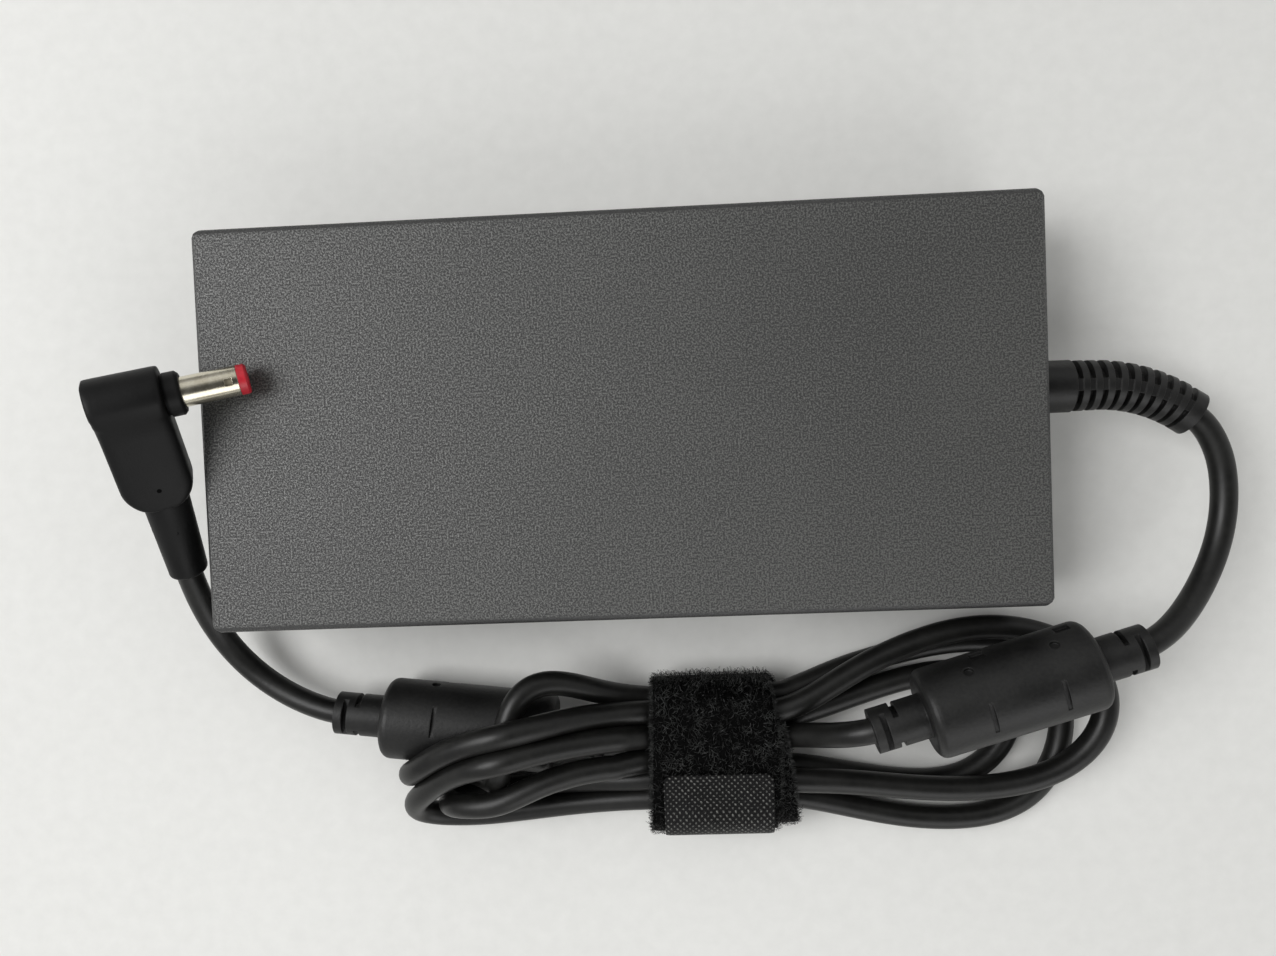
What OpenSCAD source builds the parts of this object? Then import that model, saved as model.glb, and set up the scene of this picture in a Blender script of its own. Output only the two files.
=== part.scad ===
// Laptop power adapter: a flat two-shell housing with its power supply inside, a mains inlet,
// and a low-voltage cord with two ferrite sleeves, folded into a tied hank, that ends in an angled barrel plug.
// Origin: centre of the housing's underside. +X runs along the housing to the cord's end, +Z up. Millimetres.

/* [Housing] */
// Length of the housing, from the inlet end to the cord end
housing_length = 155; // [152:1:165]
// Width of the housing
housing_width = 75; // [74:1:80]
// Height of the housing
housing_height = 25; // [25:0.5:30]
// Thickness of the housing's walls
wall = 2.2; // [1.8:0.1:2.4]
// Radius along the long edges
edge_radius = 1.4; // [0.6:0.1:2]
// Chamfer on the four upright corners
corner_chamfer = 1.5; // [0.5:0.1:3]
// Chamfer around the top and bottom of the end walls
end_chamfer = 0.7; // [0.3:0.1:1.2]
// Height of the tongue that locates one shell in the other
tongue_height = 1.6; // [1:0.1:2.4]

/* [Circuit board] */
// Thickness of the circuit board
board_thickness = 1.6; // [1.2:0.1:1.6]
// Height of the board's underside over the housing's floor
board_rise = 2.2; // [1.8:0.1:2.3]
// Thickness of the two aluminium heat spreaders
spreader_thickness = 0.8; // [0.5:0.1:0.8]
// Thickness of the insulation sheet under the board
sheet_thickness = 0.4; // [0.2:0.1:0.5]
// Diameter of the posts that hold the board
post_diameter = 6; // [5:0.5:7]
// Thickness of the thermal pad between the transformer and the upper heat spreader
pad_thickness = 1; // [0.5:0.1:2]
// Length of the mains storage capacitor
bulk_length = 36; // [25:1:40]

/* [Mains inlet] */
// Width of the inlet's socket
socket_width = 24.6; // [24:0.1:25]
// Height of the inlet's socket
socket_height = 16.6; // [16:0.1:17]
// Depth of the inlet's socket
socket_depth = 16.5; // [15:0.1:17]
// Distance between the line and neutral pins
pin_spacing = 14; // [13:0.1:15]
// Height of the earth pin over the other two
earth_offset = 4; // [3.8:0.1:4.5]
// Width of each inlet pin
pin_width = 4; // [3.5:0.1:4]
// Thickness of each inlet pin
pin_thickness = 2; // [1.5:0.1:2.2]

/* [Cord] */
// Diameter of the cord
cord_diameter = 4.8; // [4:0.1:5.2]
// Diameter of the strain relief where it leaves the housing
relief_diameter = 10; // [9:0.1:11]
// Diameter of the strain relief where the cord leaves it
relief_tip_diameter = 8.6; // [7.5:0.1:9]
// Number of slots along each side of the strain relief
relief_slots = 10; // [6:1:10]
// Diameter of the ferrite sleeve by the housing
near_diameter = 16.8; // [15:0.1:17]
// Length of the ferrite sleeve by the housing, without its necks
near_length = 32.5; // [31:0.5:34]
// Diameter of the ferrite sleeve by the plug
far_diameter = 16; // [15:0.1:16]
// Length of the ferrite sleeve by the plug, without its necks
far_length = 34.5; // [32:0.5:35]
// Length of the slotted neck at each end of a ferrite sleeve
sleeve_neck = 10; // [9:0.5:11]

/* [Plug] */
// Outside diameter of the plug's barrel
barrel_diameter = 5.5; // [5:0.05:6]
// Bore that the device's centre pin enters
contact_bore = 1.7; // [1.5:0.05:2.1]
// Length of the barrel and its insulator ahead of the collar
barrel_length = 11.2; // [10:0.1:13]
// Width of the plug's body along the barrel
plug_width = 13.2; // [12:0.1:15]
// Thickness of the plug's body over the barrel
plug_thickness = 11; // [10.6:0.1:12]
// Length of the plug's body from the barrel's axis to the cord end
plug_leg = 21.5; // [20:0.5:24]

/* [Tie] */
// Width of the hook-and-loop tie
tie_width = 24; // [20:0.5:26]
// Thickness of the tie's strap
tie_thickness = 1.1; // [0.8:0.1:1.4]

/* [Hidden] */
$fn = 48;

// Colours
housing_black = [0.10, 0.10, 0.105];
soft_black = [0.035, 0.035, 0.04];
pile_black = [0.02, 0.02, 0.022];
board_green = [0.08, 0.30, 0.16];
ferrite_grey = [0.16, 0.16, 0.17];
copper = [0.72, 0.42, 0.22];
bare_aluminium = [0.78, 0.79, 0.80];
nickel = [0.80, 0.78, 0.66];
tip_red = [0.78, 0.07, 0.12];

// Fits
fit_gap = 0.1;         // between pieces that slide together once
rest_gap = 0.3;        // between soft or curved pieces that rest on each other
press_gap = 0.05;      // around pressed pins
cut = 1;               // how far a cut runs past the face that it opens

// Levels inside the housing
parting = housing_height/2;
floor_top = wall;
ceiling = housing_height - wall;
sheet_base = floor_top + spreader_thickness;
sheet_top = sheet_base + sheet_thickness;
board_base = floor_top + board_rise;
board_top = board_base + board_thickness;
spreader_base = ceiling - spreader_thickness;

// Board plan
edge_clear = 1.3;
board_length = housing_length - 2*(wall + edge_clear);
board_width = housing_width - 2*(wall + edge_clear);
post_inset = 4;
post_pin_diameter = 2.6;
post_x = board_length/2 - post_inset;
post_y = board_width/2 - post_inset;
inlet_end = -housing_length/2;
cord_end = housing_length/2;

// Inlet
socket_wall = 1.2;
socket_corner = 5;
inlet_width = socket_width + 2*socket_wall;
inlet_height = housing_height - 2*(wall + rest_gap);
inlet_floor = 3.5;
inlet_depth = socket_depth + inlet_floor;
flange_side = 2;
flange_thickness = 2;
pin_reach = 13.5;
earth_extra = 1;
tag_length = 4.5;
tag_thickness = 1;
inlet_lead_diameter = 2.4;
inlet_lead_reach = 3;

// Exit of the cord
exit_y = 2.5;
relief_neck_diameter = 8.4;
relief_flange = [13, 1.8];
relief_straight = 12.5;
relief_bend_radius = 30;
relief_bend = 38;
relief_length = relief_straight + relief_bend_radius*relief_bend*PI/180;
relief_first_slot = 8;
relief_slot = 1.1;
relief_core_diameter = 6.6;
relief_spine = 2.2;
output_lead_diameter = 3;
output_lead_reach = 3.4;

// Board layout: the large pieces stand in one row, evenly spaced from the inlet's leads to the output leads
choke_bore = 10;
choke_ring = 3.2;
choke_core_height = 7;
choke_base = 1.6;
winding_thickness = 1.3;
inductor_size = [22, 15];
transformer_size = [28, 20];
output_choke_diameter = 14.8;
output_choke_bore = 6;
output_choke_height = 8;
output_capacitor_diameter = 8;
inlet_lead_x = inlet_end + inlet_depth + tag_length + fit_gap + inlet_lead_reach;
output_lead_start = cord_end - wall - fit_gap - relief_flange.y - fit_gap;
output_lead_x = output_lead_start - output_lead_reach;
row_start = inlet_lead_x + inlet_lead_diameter/2;
row_end = output_lead_x - output_lead_diameter/2;
choke_side = choke_bore + 2*(choke_ring + winding_thickness + fit_gap);
row = [choke_side, inductor_size.x, transformer_size.x, output_choke_diameter, output_capacitor_diameter];
row_gap = (row_end - row_start - total(row, len(row)))/(len(row) + 1);
choke_place = [row_x(0), 0];
inductor_place = [row_x(1), 8];
transformer_place = [row_x(2), 4];
output_choke_place = [row_x(3), 7];
output_capacitor_x = row_x(4);
output_capacitor_row_y = -11;
output_capacitor_pitch = 10;

// Heights that the space over the board gives
free_height = spreader_base - board_top;
core_height = free_height - pad_thickness;
sink_height = free_height - 1.4;
can_height = free_height - 2;
package_top = sink_height - 2;

// Storage capacitor: it fills the height between the sheet and the upper heat spreader
bulk_diameter = spreader_base - sheet_top - 2*rest_gap;
bulk_edge = 4;
bulk_middle = [
    inductor_place.x - inductor_size.x/2 + 1 + bulk_length/2,
    bulk_edge + bulk_diameter/2 - board_width/2
];
bulk_level = sheet_top + bulk_diameter/2 + rest_gap;

// Small pieces beside the row
part_clear = 1;
post_edge = post_x - post_diameter/2 - part_clear;
fuse_diameter = 8.4;
fuse_height = 7.8;
fuse_edge = 5;
film_size = [18, 9];
film_edge = 2.5;
surge_diameter = 11;
surge_thickness = 4.6;
surge_edge = 14;
safety_diameter = 9;
safety_thickness = 4;
safety_edge = 13;
safety_pitch = 12;
disc_lead = 1;
disc_lead_pitch = 5;
disc_lead_diameter = 0.8;
optocoupler_size = [4.6, 6.5, 3.5];
optocoupler_x = bulk_middle.x + bulk_length/2 + 3.7 + optocoupler_size.x/2;
optocoupler_pitch = 8;
control_size = [24, 1.2, 12];
control_edge = 10;
control_end = 7;
chip_size = [5, 1.2, 4];

// Heat sinks: upright plates with a folded top, along the two long edges of the board
sink_thickness = 1.5;
sink_fold = 4;
sink_edge = 3;
sink_y = board_width/2 - sink_edge;
primary_sink = [row_start, optocoupler_x];
secondary_sink = [optocoupler_x + 4, row_end - 3];
package_thickness = 4.5;
package_width = 10;
bridge_width = 20;
package_leg = 3;
leg_pitch = 2.54;
leg_size = [0.8, 0.5];
package_y = sink_y - sink_thickness/2 - fit_gap - package_thickness/2;
transistor_pitch = 18;
rectifier_pitch = 16;

// Hank: waist under the tie, and the height of its two lobes
tie_x = 3;
tie_middle = -67.4;
tie_inner_extra = 4.5;
waist_width = 27.6;
waist_height = 9;
waist_radius = 4.4;
waist_base = 2*tie_thickness + 2*fit_gap;
hank_height = 12;
saddle_top = 21.4;

// Ferrite sleeves: place of the middle, and turn about Z
near_place = [cord_end - 7.4, -53.3, hank_height + rest_gap + near_diameter/2];
near_turn = 16;
near_size = [near_diameter, near_length];
far_place = [-33.3, -60.8, far_diameter/2 + fit_gap];
far_turn = -7;
far_size = [far_diameter, far_length];
neck_diameter = 8.4;
sleeve_rim = 1.8;
ferrite_bore = 6;
ferrite_skin = 1.4;

// Plug: place of the barrel's tip on the housing, turn about Z, dip of the barrel and slope of the leg
tip_inset = 10.9;
tip_y = 9.5;
plug_turn = 12.5;
plug_dip = 20;
plug_slope = 31;
collar_diameter = 8;
collar_length = 2.9;
tip_ring = 1.7;
barrel_wall = 0.4;
contact_wall = 0.45;
plug_relief_diameter = [8.4, 7];
plug_relief_length = 16.5;
plug_leg_thickness = 8.4;
plug_corner = 5;
plug_reach = plug_width/2 + collar_length + barrel_length;
plug_place = [
    inlet_end + tip_inset - plug_reach*cos(plug_dip)*cos(plug_turn),
    tip_y - plug_reach*cos(plug_dip)*sin(plug_turn),
    housing_height + rest_gap + barrel_diameter/2*cos(plug_dip) + plug_reach*sin(plug_dip)
];

// Routes of the cord where it isn't in the hank, with X from the housing's nearer end
approach = 2.4;        // straight stretch where the cord meets a moulded piece
lead_out_route = [
    [35.4, -9.6, 12.3], [36.7, -13.8, 12], [37.2, -18.5, 11.7], [37.1, -23.2, 11.6],
    [35.7, -29, 11.9], [32.8, -34.5, 12.8], [28.4, -39.4, 14.8], [24.4, -42.5, 17.4]
];
lead_in_route = [[-37, -61.8, 20], [-39.4, -62.3, 18.4], [-41, -62.6, 16], [-41.8, -62.8, 12.8], [-42, -62.9, 9]];
plug_lead_route = [
    [10, -55, 7.4], [5.2, -53.1, 6.6], [1.2, -50.4, 6.4], [-2.4, -47, 6.9], [-5.2, -42.9, 8],
    [-7.2, -38, 9.9], [-7.9, -33.5, 12.5]
];

// Points of an arc about centre c
function arc(c, r, from, to, steps = 6) =
    [for (i = [0:steps]) let (a = from + (to - from)*i/steps) c + r*[cos(a), sin(a)]];

// Outline of a rectangle about the origin with round corners
function round_rect(w, h, r, steps = 6) = concat(
    arc([w/2 - r, h/2 - r], r, 0, 90, steps),
    arc([r - w/2, h/2 - r], r, 90, 180, steps),
    arc([r - w/2, r - h/2], r, 180, 270, steps),
    arc([w/2 - r, r - h/2], r, 270, 360, steps)
);

// Outline of a rectangle about the origin with cut corners
function cut_rect(w, h, c) = [
    [w/2 - c, h/2], [c - w/2, h/2], [-w/2, h/2 - c], [-w/2, c - h/2],
    [c - w/2, -h/2], [w/2 - c, -h/2], [w/2, c - h/2], [w/2, h/2 - c]
];

// Sum of the first n values, and the place along the board's row of its piece i
function total(v, n) = n == 0 ? 0 : v[n - 1] + total(v, n - 1);
function row_x(i) = row_start + (i + 1)*row_gap + total(row, i) + row[i]/2;

function unit(v) = v/norm(v);
function direction(p, i) = unit(p[min(i + 1, len(p) - 1)] - p[max(i - 1, 0)]);

// A round tube through a list of points, with one ring at each point
module tube(p, d, sides = 10) {
    count = len(p);
    along = p[count - 1] - p[0];
    rings = [for (i = [0:count - 1])
        let (t = direction(p, i), u = unit(cross([0, 0, 1], abs(t.z) < 0.9 ? t : along)), v = cross(t, u))
        for (k = [0:sides - 1]) p[i] + d/2*(cos(360*k/sides)*u + sin(360*k/sides)*v)];
    sides_of = [for (i = [0:count - 2]) for (k = [0:sides - 1]) let (n = (k + 1)%sides)
        [i*sides + k, (i + 1)*sides + k, (i + 1)*sides + n, i*sides + n]];
    caps = [[for (k = [0:sides - 1]) k], [for (k = [sides - 1:-1:0]) (count - 1)*sides + k]];
    polyhedron(rings, concat(sides_of, caps));
}

// Children's XY profile, extruded along X
module along_x(length) {
    rotate([90, 0, 90]) linear_extrude(length) children();
}

// A block of the housing's form: round long edges, cut corners and chamfered ends
module housing_block(l, w, h, edge, corner, ends) {
    intersection() {
        translate([-l/2, 0, 0]) along_x(l) polygon(round_rect(w, h, edge));
        translate([0, 0, -h/2]) linear_extrude(h) polygon(cut_rect(l, w, corner));
        translate([0, w/2, 0]) rotate([90, 0, 0]) linear_extrude(w) polygon(cut_rect(l, h, ends));
    }
}

module housing_outside() {
    translate([0, 0, parting])
        housing_block(housing_length, housing_width, housing_height, edge_radius, corner_chamfer, end_chamfer);
}

module housing_inside() {
    translate([0, 0, parting])
        housing_block(housing_length - 2*wall, housing_width - 2*wall, housing_height - 2*wall, 0.6, 1, 0.4);
}

// The ring around the parting line, from one depth below the outside to another
module parting_ring(outer_inset, inner_inset, height) {
    linear_extrude(height) difference() {
        polygon(cut_rect(housing_length - 2*outer_inset, housing_width - 2*outer_inset, corner_chamfer));
        polygon(cut_rect(housing_length - 2*inner_inset, housing_width - 2*inner_inset, corner_chamfer));
    }
}

// The openings that both shells share: the inlet's window and the cord's hole
module end_openings() {
    translate([inlet_end - cut, 0, parting]) along_x(wall + 2*cut)
        square([inlet_width + 2*fit_gap, inlet_height + 2*fit_gap], center = true);
    translate([cord_end - wall - cut, exit_y, parting]) rotate([0, 90, 0])
        cylinder(d = relief_neck_diameter + 2*fit_gap, h = wall + 2*cut);
}

module at_posts() {
    for (x = [-post_x, post_x], y = [-post_y, post_y]) translate([x, y, 0]) children();
}

tongue_depth = 1.2;
seam = 0.3;

module top_shell() {
    color(housing_black) {
        difference() {
            intersection() {
                housing_outside();
                translate([inlet_end - cut, -housing_width/2 - cut, parting])
                    cube([housing_length + 2*cut, housing_width + 2*cut, housing_height]);
            }
            housing_inside();
            end_openings();
            translate([0, 0, parting - cut])
                parting_ring(tongue_depth - fit_gap, wall + cut, tongue_height + fit_gap + cut);
            translate([0, 0, parting - cut]) parting_ring(-cut, seam, seam + cut);
        }
        at_posts() translate([0, 0, board_top]) cylinder(d = post_diameter, h = ceiling - board_top + press_gap);
    }
}

module bottom_shell() {
    label_recess = [96, 52, 0.3];
    color(housing_black) {
        difference() {
            intersection() {
                housing_outside();
                translate([inlet_end - cut, -housing_width/2 - cut, -cut])
                    cube([housing_length + 2*cut, housing_width + 2*cut, parting + cut]);
            }
            housing_inside();
            end_openings();
            translate([0, 0, -cut]) linear_extrude(label_recess.z + cut)
                polygon(round_rect(label_recess.x, label_recess.y, 3));
        }
        difference() {
            translate([0, 0, parting - cut]) parting_ring(tongue_depth, wall, tongue_height + cut);
            end_openings();
        }
        at_posts() {
            translate([0, 0, floor_top - press_gap]) cylinder(d = post_diameter, h = board_rise + press_gap);
            translate([0, 0, board_base - press_gap])
                cylinder(d = post_pin_diameter, h = board_thickness + press_gap - fit_gap);
        }
    }
}

// Plan of the sheet and the board: a rectangle notched around the inlet, with a hole at each post
module board_plan(hole) {
    notch = inlet_depth + tag_length + 1 - wall - edge_clear;
    difference() {
        polygon(cut_rect(board_length, board_width, 1));
        translate([-board_length/2 - cut, -inlet_width/2 - flange_side - 1])
            square([notch + cut, inlet_width + 2*flange_side + 2]);
        at_posts() circle(d = hole);
    }
}

spreader_left = 24;
spreader_right = 11;

module heat_spreader(base) {
    translate([inlet_end + spreader_left, -board_width/2 + 1, base])
        cube([housing_length - spreader_left - spreader_right, board_width - 2, spreader_thickness]);
}

module upper_heat_spreader() {
    color(bare_aluminium) heat_spreader(spreader_base);
}

module lower_heat_spreader() {
    color(bare_aluminium) heat_spreader(floor_top);
}

module insulation_sheet() {
    color([0.85, 0.82, 0.68]) translate([0, 0, sheet_base]) linear_extrude(sheet_thickness)
        board_plan(post_diameter + 2*rest_gap);
}

// The board is cut out for the storage capacitor, which lies in it
module circuit_board() {
    color(board_green) translate([0, 0, board_base]) linear_extrude(board_thickness) difference() {
        board_plan(post_pin_diameter + 2*fit_gap);
        translate(bulk_middle) square([bulk_length + 2*rest_gap, bulk_diameter + 2*rest_gap], center = true);
    }
}

// Socket outline: a rectangle with its two upper corners cut
function socket_outline(w, h, c) = [
    [-w/2, -h/2], [w/2, -h/2], [w/2, h/2 - c], [w/2 - c, h/2], [c - w/2, h/2], [-w/2, h/2 - c]
];

// The three pins stand in the socket as seen from outside: Y across, Z up
line_place = [-pin_spacing/2, -earth_offset/2];
neutral_place = [pin_spacing/2, -earth_offset/2];
earth_place = [0, earth_offset/2];

module inlet_body() {
    color(soft_black) translate([inlet_end, 0, parting]) difference() {
        union() {
            along_x(inlet_depth) square([inlet_width, inlet_height], center = true);
            translate([wall + fit_gap, 0, 0]) along_x(flange_thickness)
                square([inlet_width + 2*flange_side, inlet_height], center = true);
        }
        translate([-cut, 0, 0]) along_x(socket_depth + cut)
            polygon(socket_outline(socket_width, socket_height, socket_corner));
        for (place = [line_place, neutral_place, earth_place])
            translate([0, place.x, place.y]) along_x(inlet_depth + cut)
                square([pin_thickness + 2*press_gap, pin_width + 2*press_gap], center = true);
    }
}

// One pin: a blade with a chamfered tip, and a solder tag behind the inlet
module inlet_pin(place, reach) {
    tip = 1.2;
    color(nickel) translate([inlet_end + socket_depth, place.x, parting + place.y]) {
        translate([0, pin_thickness/2, 0]) rotate([90, 0, 0]) linear_extrude(pin_thickness) polygon([
            [inlet_floor, pin_width/2], [tip - reach, pin_width/2], [-reach, pin_width/2 - tip],
            [-reach, tip - pin_width/2], [tip - reach, -pin_width/2], [inlet_floor, -pin_width/2]
        ]);
        translate([inlet_floor - cut, -tag_thickness/2, -pin_width/2 + 0.5])
            cube([tag_length + cut, tag_thickness, pin_width - 1]);
    }
}

module line_pin() inlet_pin(line_place, pin_reach);

module neutral_pin() inlet_pin(neutral_place, pin_reach);

module earth_pin() inlet_pin(earth_place, pin_reach + earth_extra);

// Three insulated leads from the tags down to the board
module inlet_leads() {
    start = inlet_lead_x - inlet_lead_reach;
    corner = 1.4;
    places = [line_place, neutral_place, earth_place];
    colours = [[0.45, 0.25, 0.12], [0.10, 0.25, 0.60], [0.55, 0.65, 0.10]];
    for (i = [0:2]) {
        level = parting + places[i].y;
        color(colours[i]) translate([0, places[i].x, 0]) tube([
            [start, 0, level], [inlet_lead_x - corner, 0, level], [inlet_lead_x, 0, level - corner],
            [inlet_lead_x, 0, board_top + corner], [inlet_lead_x, 0, board_top + press_gap]
        ], inlet_lead_diameter, 8);
    }
}

// A round component that stands on the board, with a rolled rim at the top
module standing_can(d, h, rim = 0.5) {
    dish = 0.3;
    rotate_extrude() polygon(concat(
        [[0, 0], [d/2 - rim, 0], [d/2, rim]],
        arc([d/2 - rim, h - rim], rim, 0, 90, 4),
        [[d/2 - 2*rim, h - dish], [0, h - dish]]
    ));
}

// A coated disc that stands on its two leads, facing along Y
module standing_disc(d, t) {
    edge = 1;
    translate([0, t/2, disc_lead + d/2]) rotate([90, 0, 0]) standing_can(d, t, edge);
    for (side = [-1, 1]) translate([side*disc_lead_pitch/2, 0, 0])
        cylinder(d = disc_lead_diameter, h = disc_lead + d/4);
}

// A rectangular component that stands on the board, with rounded upright edges
module standing_block(x, y, z, r = 0.6) {
    linear_extrude(z) polygon(round_rect(x, y, r, 3));
}

module fuse() {
    color([0.12, 0.13, 0.14])
        translate([fuse_diameter/2 - post_edge, board_width/2 - fuse_edge - fuse_diameter/2, board_top])
            standing_can(fuse_diameter, fuse_height);
}

module surge_suppressor() {
    color([0.10, 0.20, 0.55]) translate([row_start + 2, board_width/2 - surge_edge, board_top])
        standing_disc(surge_diameter, surge_thickness);
}

module filter_capacitor() {
    color([0.86, 0.70, 0.15])
        translate([film_size.x/2 - post_edge, film_edge + film_size.y/2 - board_width/2, board_top])
            standing_block(film_size.x, film_size.y, sink_height);
}

// Common-mode choke: a ring core that lies flat in a plastic base, with a winding on each half
choke_inner = choke_bore/2;
choke_outer = choke_inner + choke_ring;

module choke_core() {
    foot_width = 3;
    foot_inset = 0.6;
    color(ferrite_grey) translate([choke_place.x, choke_place.y, board_top]) {
        translate([0, 0, choke_base + winding_thickness + fit_gap]) rotate_extrude()
            translate([choke_inner, 0]) square([choke_outer - choke_inner, choke_core_height]);
        for (a = [0, 180]) rotate(a) translate([choke_inner + foot_inset, -foot_width/2, 0])
            cube([choke_ring - 2*foot_inset, foot_width, choke_base + winding_thickness + 2*fit_gap]);
        linear_extrude(choke_base) polygon(round_rect(choke_side, choke_side, foot_width));
    }
}

module choke_windings() {
    inner = choke_inner - winding_thickness - fit_gap;
    outer = choke_outer + winding_thickness + fit_gap;
    height = choke_core_height + 2*winding_thickness + 2*fit_gap;
    color(copper) translate([choke_place.x, choke_place.y, board_top + choke_base]) difference() {
        for (a = [25, 205]) rotate(a) rotate_extrude(angle = 130)
            translate([inner, 0]) square([outer - inner, height]);
        translate([0, 0, winding_thickness]) rotate_extrude()
            translate([choke_inner - fit_gap, 0])
                square([choke_ring + 2*fit_gap, choke_core_height + 2*fit_gap]);
    }
}

module heat_sink(ends) {
    translate([ends[0], sink_y - sink_thickness/2, board_top]) {
        cube([ends[1] - ends[0], sink_thickness, sink_height]);
        translate([0, -sink_fold, sink_height - sink_thickness])
            cube([ends[1] - ends[0], sink_fold + sink_thickness/2, sink_thickness]);
    }
}

module primary_heat_sink() {
    color(bare_aluminium) heat_sink(primary_sink);
}

module secondary_heat_sink() {
    color(bare_aluminium) mirror([0, 1, 0]) heat_sink(secondary_sink);
}

// A flat semiconductor package that is clamped to a heat sink, on its own legs
module package(x, width, legs) {
    translate([x, package_y, board_top]) {
        translate([-width/2, -package_thickness/2, package_leg])
            cube([width, package_thickness, package_top - package_leg]);
        for (i = [0:legs - 1]) translate([(i - (legs - 1)/2)*leg_pitch, 0, (package_leg + leg_size.x)/2])
            cube([leg_size.x, leg_size.y, package_leg + leg_size.x], center = true);
    }
}

module bridge_rectifier() {
    color(housing_black) package(primary_sink[0] + 3 + bridge_width/2, bridge_width, 4);
}

module power_transistors() {
    color(housing_black) for (i = [0, 1])
        package(primary_sink[1] - 7 - package_width/2 - i*transistor_pitch, package_width, 3);
}

module output_rectifiers() {
    color(housing_black) mirror([0, 1, 0]) for (side = [-1, 1])
        package((secondary_sink[0] + secondary_sink[1] + side*rectifier_pitch)/2, package_width, 3);
}

// Ferrite core with two outer legs and a round middle, as a transformer or an inductor has
module shaped_core(x, y, h) {
    leg = x/6;
    plate = h/6;
    translate([-x/2, -y/2, 0]) cube([x, y, plate]);
    translate([-x/2, -y/2, h - plate]) cube([x, y, plate]);
    for (side = [0, 1]) mirror([side, 0, 0]) difference() {
        translate([x/2 - leg, -y/2, 0]) cube([leg, y, h]);
        translate([0, 0, plate]) cylinder(d = x - leg, h = h - 2*plate);
    }
}

// Winding on a flanged bobbin, between the core's legs and plates
module core_winding(x, h) {
    leg = x/6;
    plate = h/6;
    winding_end = 1;
    flange_step = 0.9;
    translate([0, 0, plate + press_gap]) {
        cylinder(d = x - leg - 2*rest_gap, h = winding_end);
        translate([0, 0, winding_end]) cylinder(d = x - leg - 2*rest_gap - 2*flange_step,
            h = h - 2*(plate + winding_end + press_gap));
        translate([0, 0, h - 2*plate - 2*press_gap - winding_end])
            cylinder(d = x - leg - 2*rest_gap, h = winding_end);
    }
}

module inductor_core() {
    color(ferrite_grey) translate([inductor_place.x, inductor_place.y, board_top])
        shaped_core(inductor_size.x, inductor_size.y, core_height);
}

module inductor_winding() {
    color(copper) translate([inductor_place.x, inductor_place.y, board_top])
        core_winding(inductor_size.x, core_height);
}

module transformer_core() {
    color(ferrite_grey) translate([transformer_place.x, transformer_place.y, board_top])
        shaped_core(transformer_size.x, transformer_size.y, core_height);
}

module transformer_winding() {
    color([0.90, 0.78, 0.25]) translate([transformer_place.x, transformer_place.y, board_top])
        core_winding(transformer_size.x, core_height);
}

module thermal_pad() {
    pad_inset = 2;
    color([0.60, 0.70, 0.85])
        translate([
            transformer_place.x - transformer_size.x/2 + pad_inset,
            transformer_place.y - transformer_size.y/2 + pad_inset,
            board_top + core_height
        ])
            cube([transformer_size.x - 2*pad_inset, transformer_size.y - 2*pad_inset, pad_thickness]);
}

module bulk_capacitor() {
    crimp = 3;
    groove = 0.8;
    color([0.08, 0.09, 0.12]) translate([bulk_middle.x - bulk_length/2, bulk_middle.y, bulk_level])
        rotate([0, 90, 0]) rotate_extrude() polygon(concat(
            [[0, 0]], arc([bulk_diameter/2 - 0.6, 0.6], 0.6, -90, 0, 4),
            [[bulk_diameter/2, crimp - groove]],
            arc([bulk_diameter/2, crimp], groove, -90, -270, 6),
            [[bulk_diameter/2, bulk_length - 0.6], [bulk_diameter/2 - 0.6, bulk_length], [0, bulk_length]]
        ));
}

module output_capacitors() {
    places = concat(
        [for (i = [0:2]) [output_capacitor_x - i*output_capacitor_pitch, output_capacitor_row_y]],
        [[output_capacitor_x, output_capacitor_row_y + output_capacitor_pitch + part_clear]]
    );
    color([0.10, 0.16, 0.36]) for (place = places)
        translate([place.x, place.y, board_top]) standing_can(output_capacitor_diameter, can_height);
}

module output_choke() {
    turns = (output_choke_diameter - output_choke_bore)/2;
    color(copper) translate([output_choke_place.x, output_choke_place.y, board_top]) rotate_extrude()
        translate([(output_choke_bore + turns)/2, output_choke_height/2])
            polygon(round_rect(turns, output_choke_height, 1, 3));
}

module safety_capacitors() {
    color([0.15, 0.35, 0.65]) for (side = [-1, 1])
        translate([transformer_place.x + side*safety_pitch/2, board_width/2 - safety_edge, board_top])
            standing_disc(safety_diameter, safety_thickness);
}

module optocouplers() {
    size = optocoupler_size;
    stand = 0.5;
    pin = [0.6, 0.3, 2];
    color(housing_black) for (i = [-1, 1])
        translate([optocoupler_x, bulk_middle.y + 3 + i*optocoupler_pitch/2, board_top]) {
            translate([-size.x/2, -size.y/2, stand]) cube([size.x, size.y, size.z - stand]);
            for (x = [-1, 1], side = [-1, 1]) {
                translate([x*leg_pitch/2 - pin.x/2, side*(size.y/2 + pin.y) - pin.y/2, 0]) cube(pin);
                translate([x*leg_pitch/2 - pin.x/2, side*(size.y/2 + pin.y/2) - pin.y/2, pin.z - pin.y])
                    cube([pin.x, pin.y, pin.y]);
            }
        }
}

module control_board() {
    size = control_size;
    color([0.06, 0.22, 0.12])
        translate([row_end - control_end - size.x, board_width/2 - control_edge, board_top]) {
            cube(size);
            for (i = [-1, 1])
                translate([size.x/2 + i*chip_size.x - chip_size.x/2, -chip_size.y, size.z/3])
                    cube([chip_size.x, chip_size.y + press_gap, chip_size.z]);
        }
}

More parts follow.
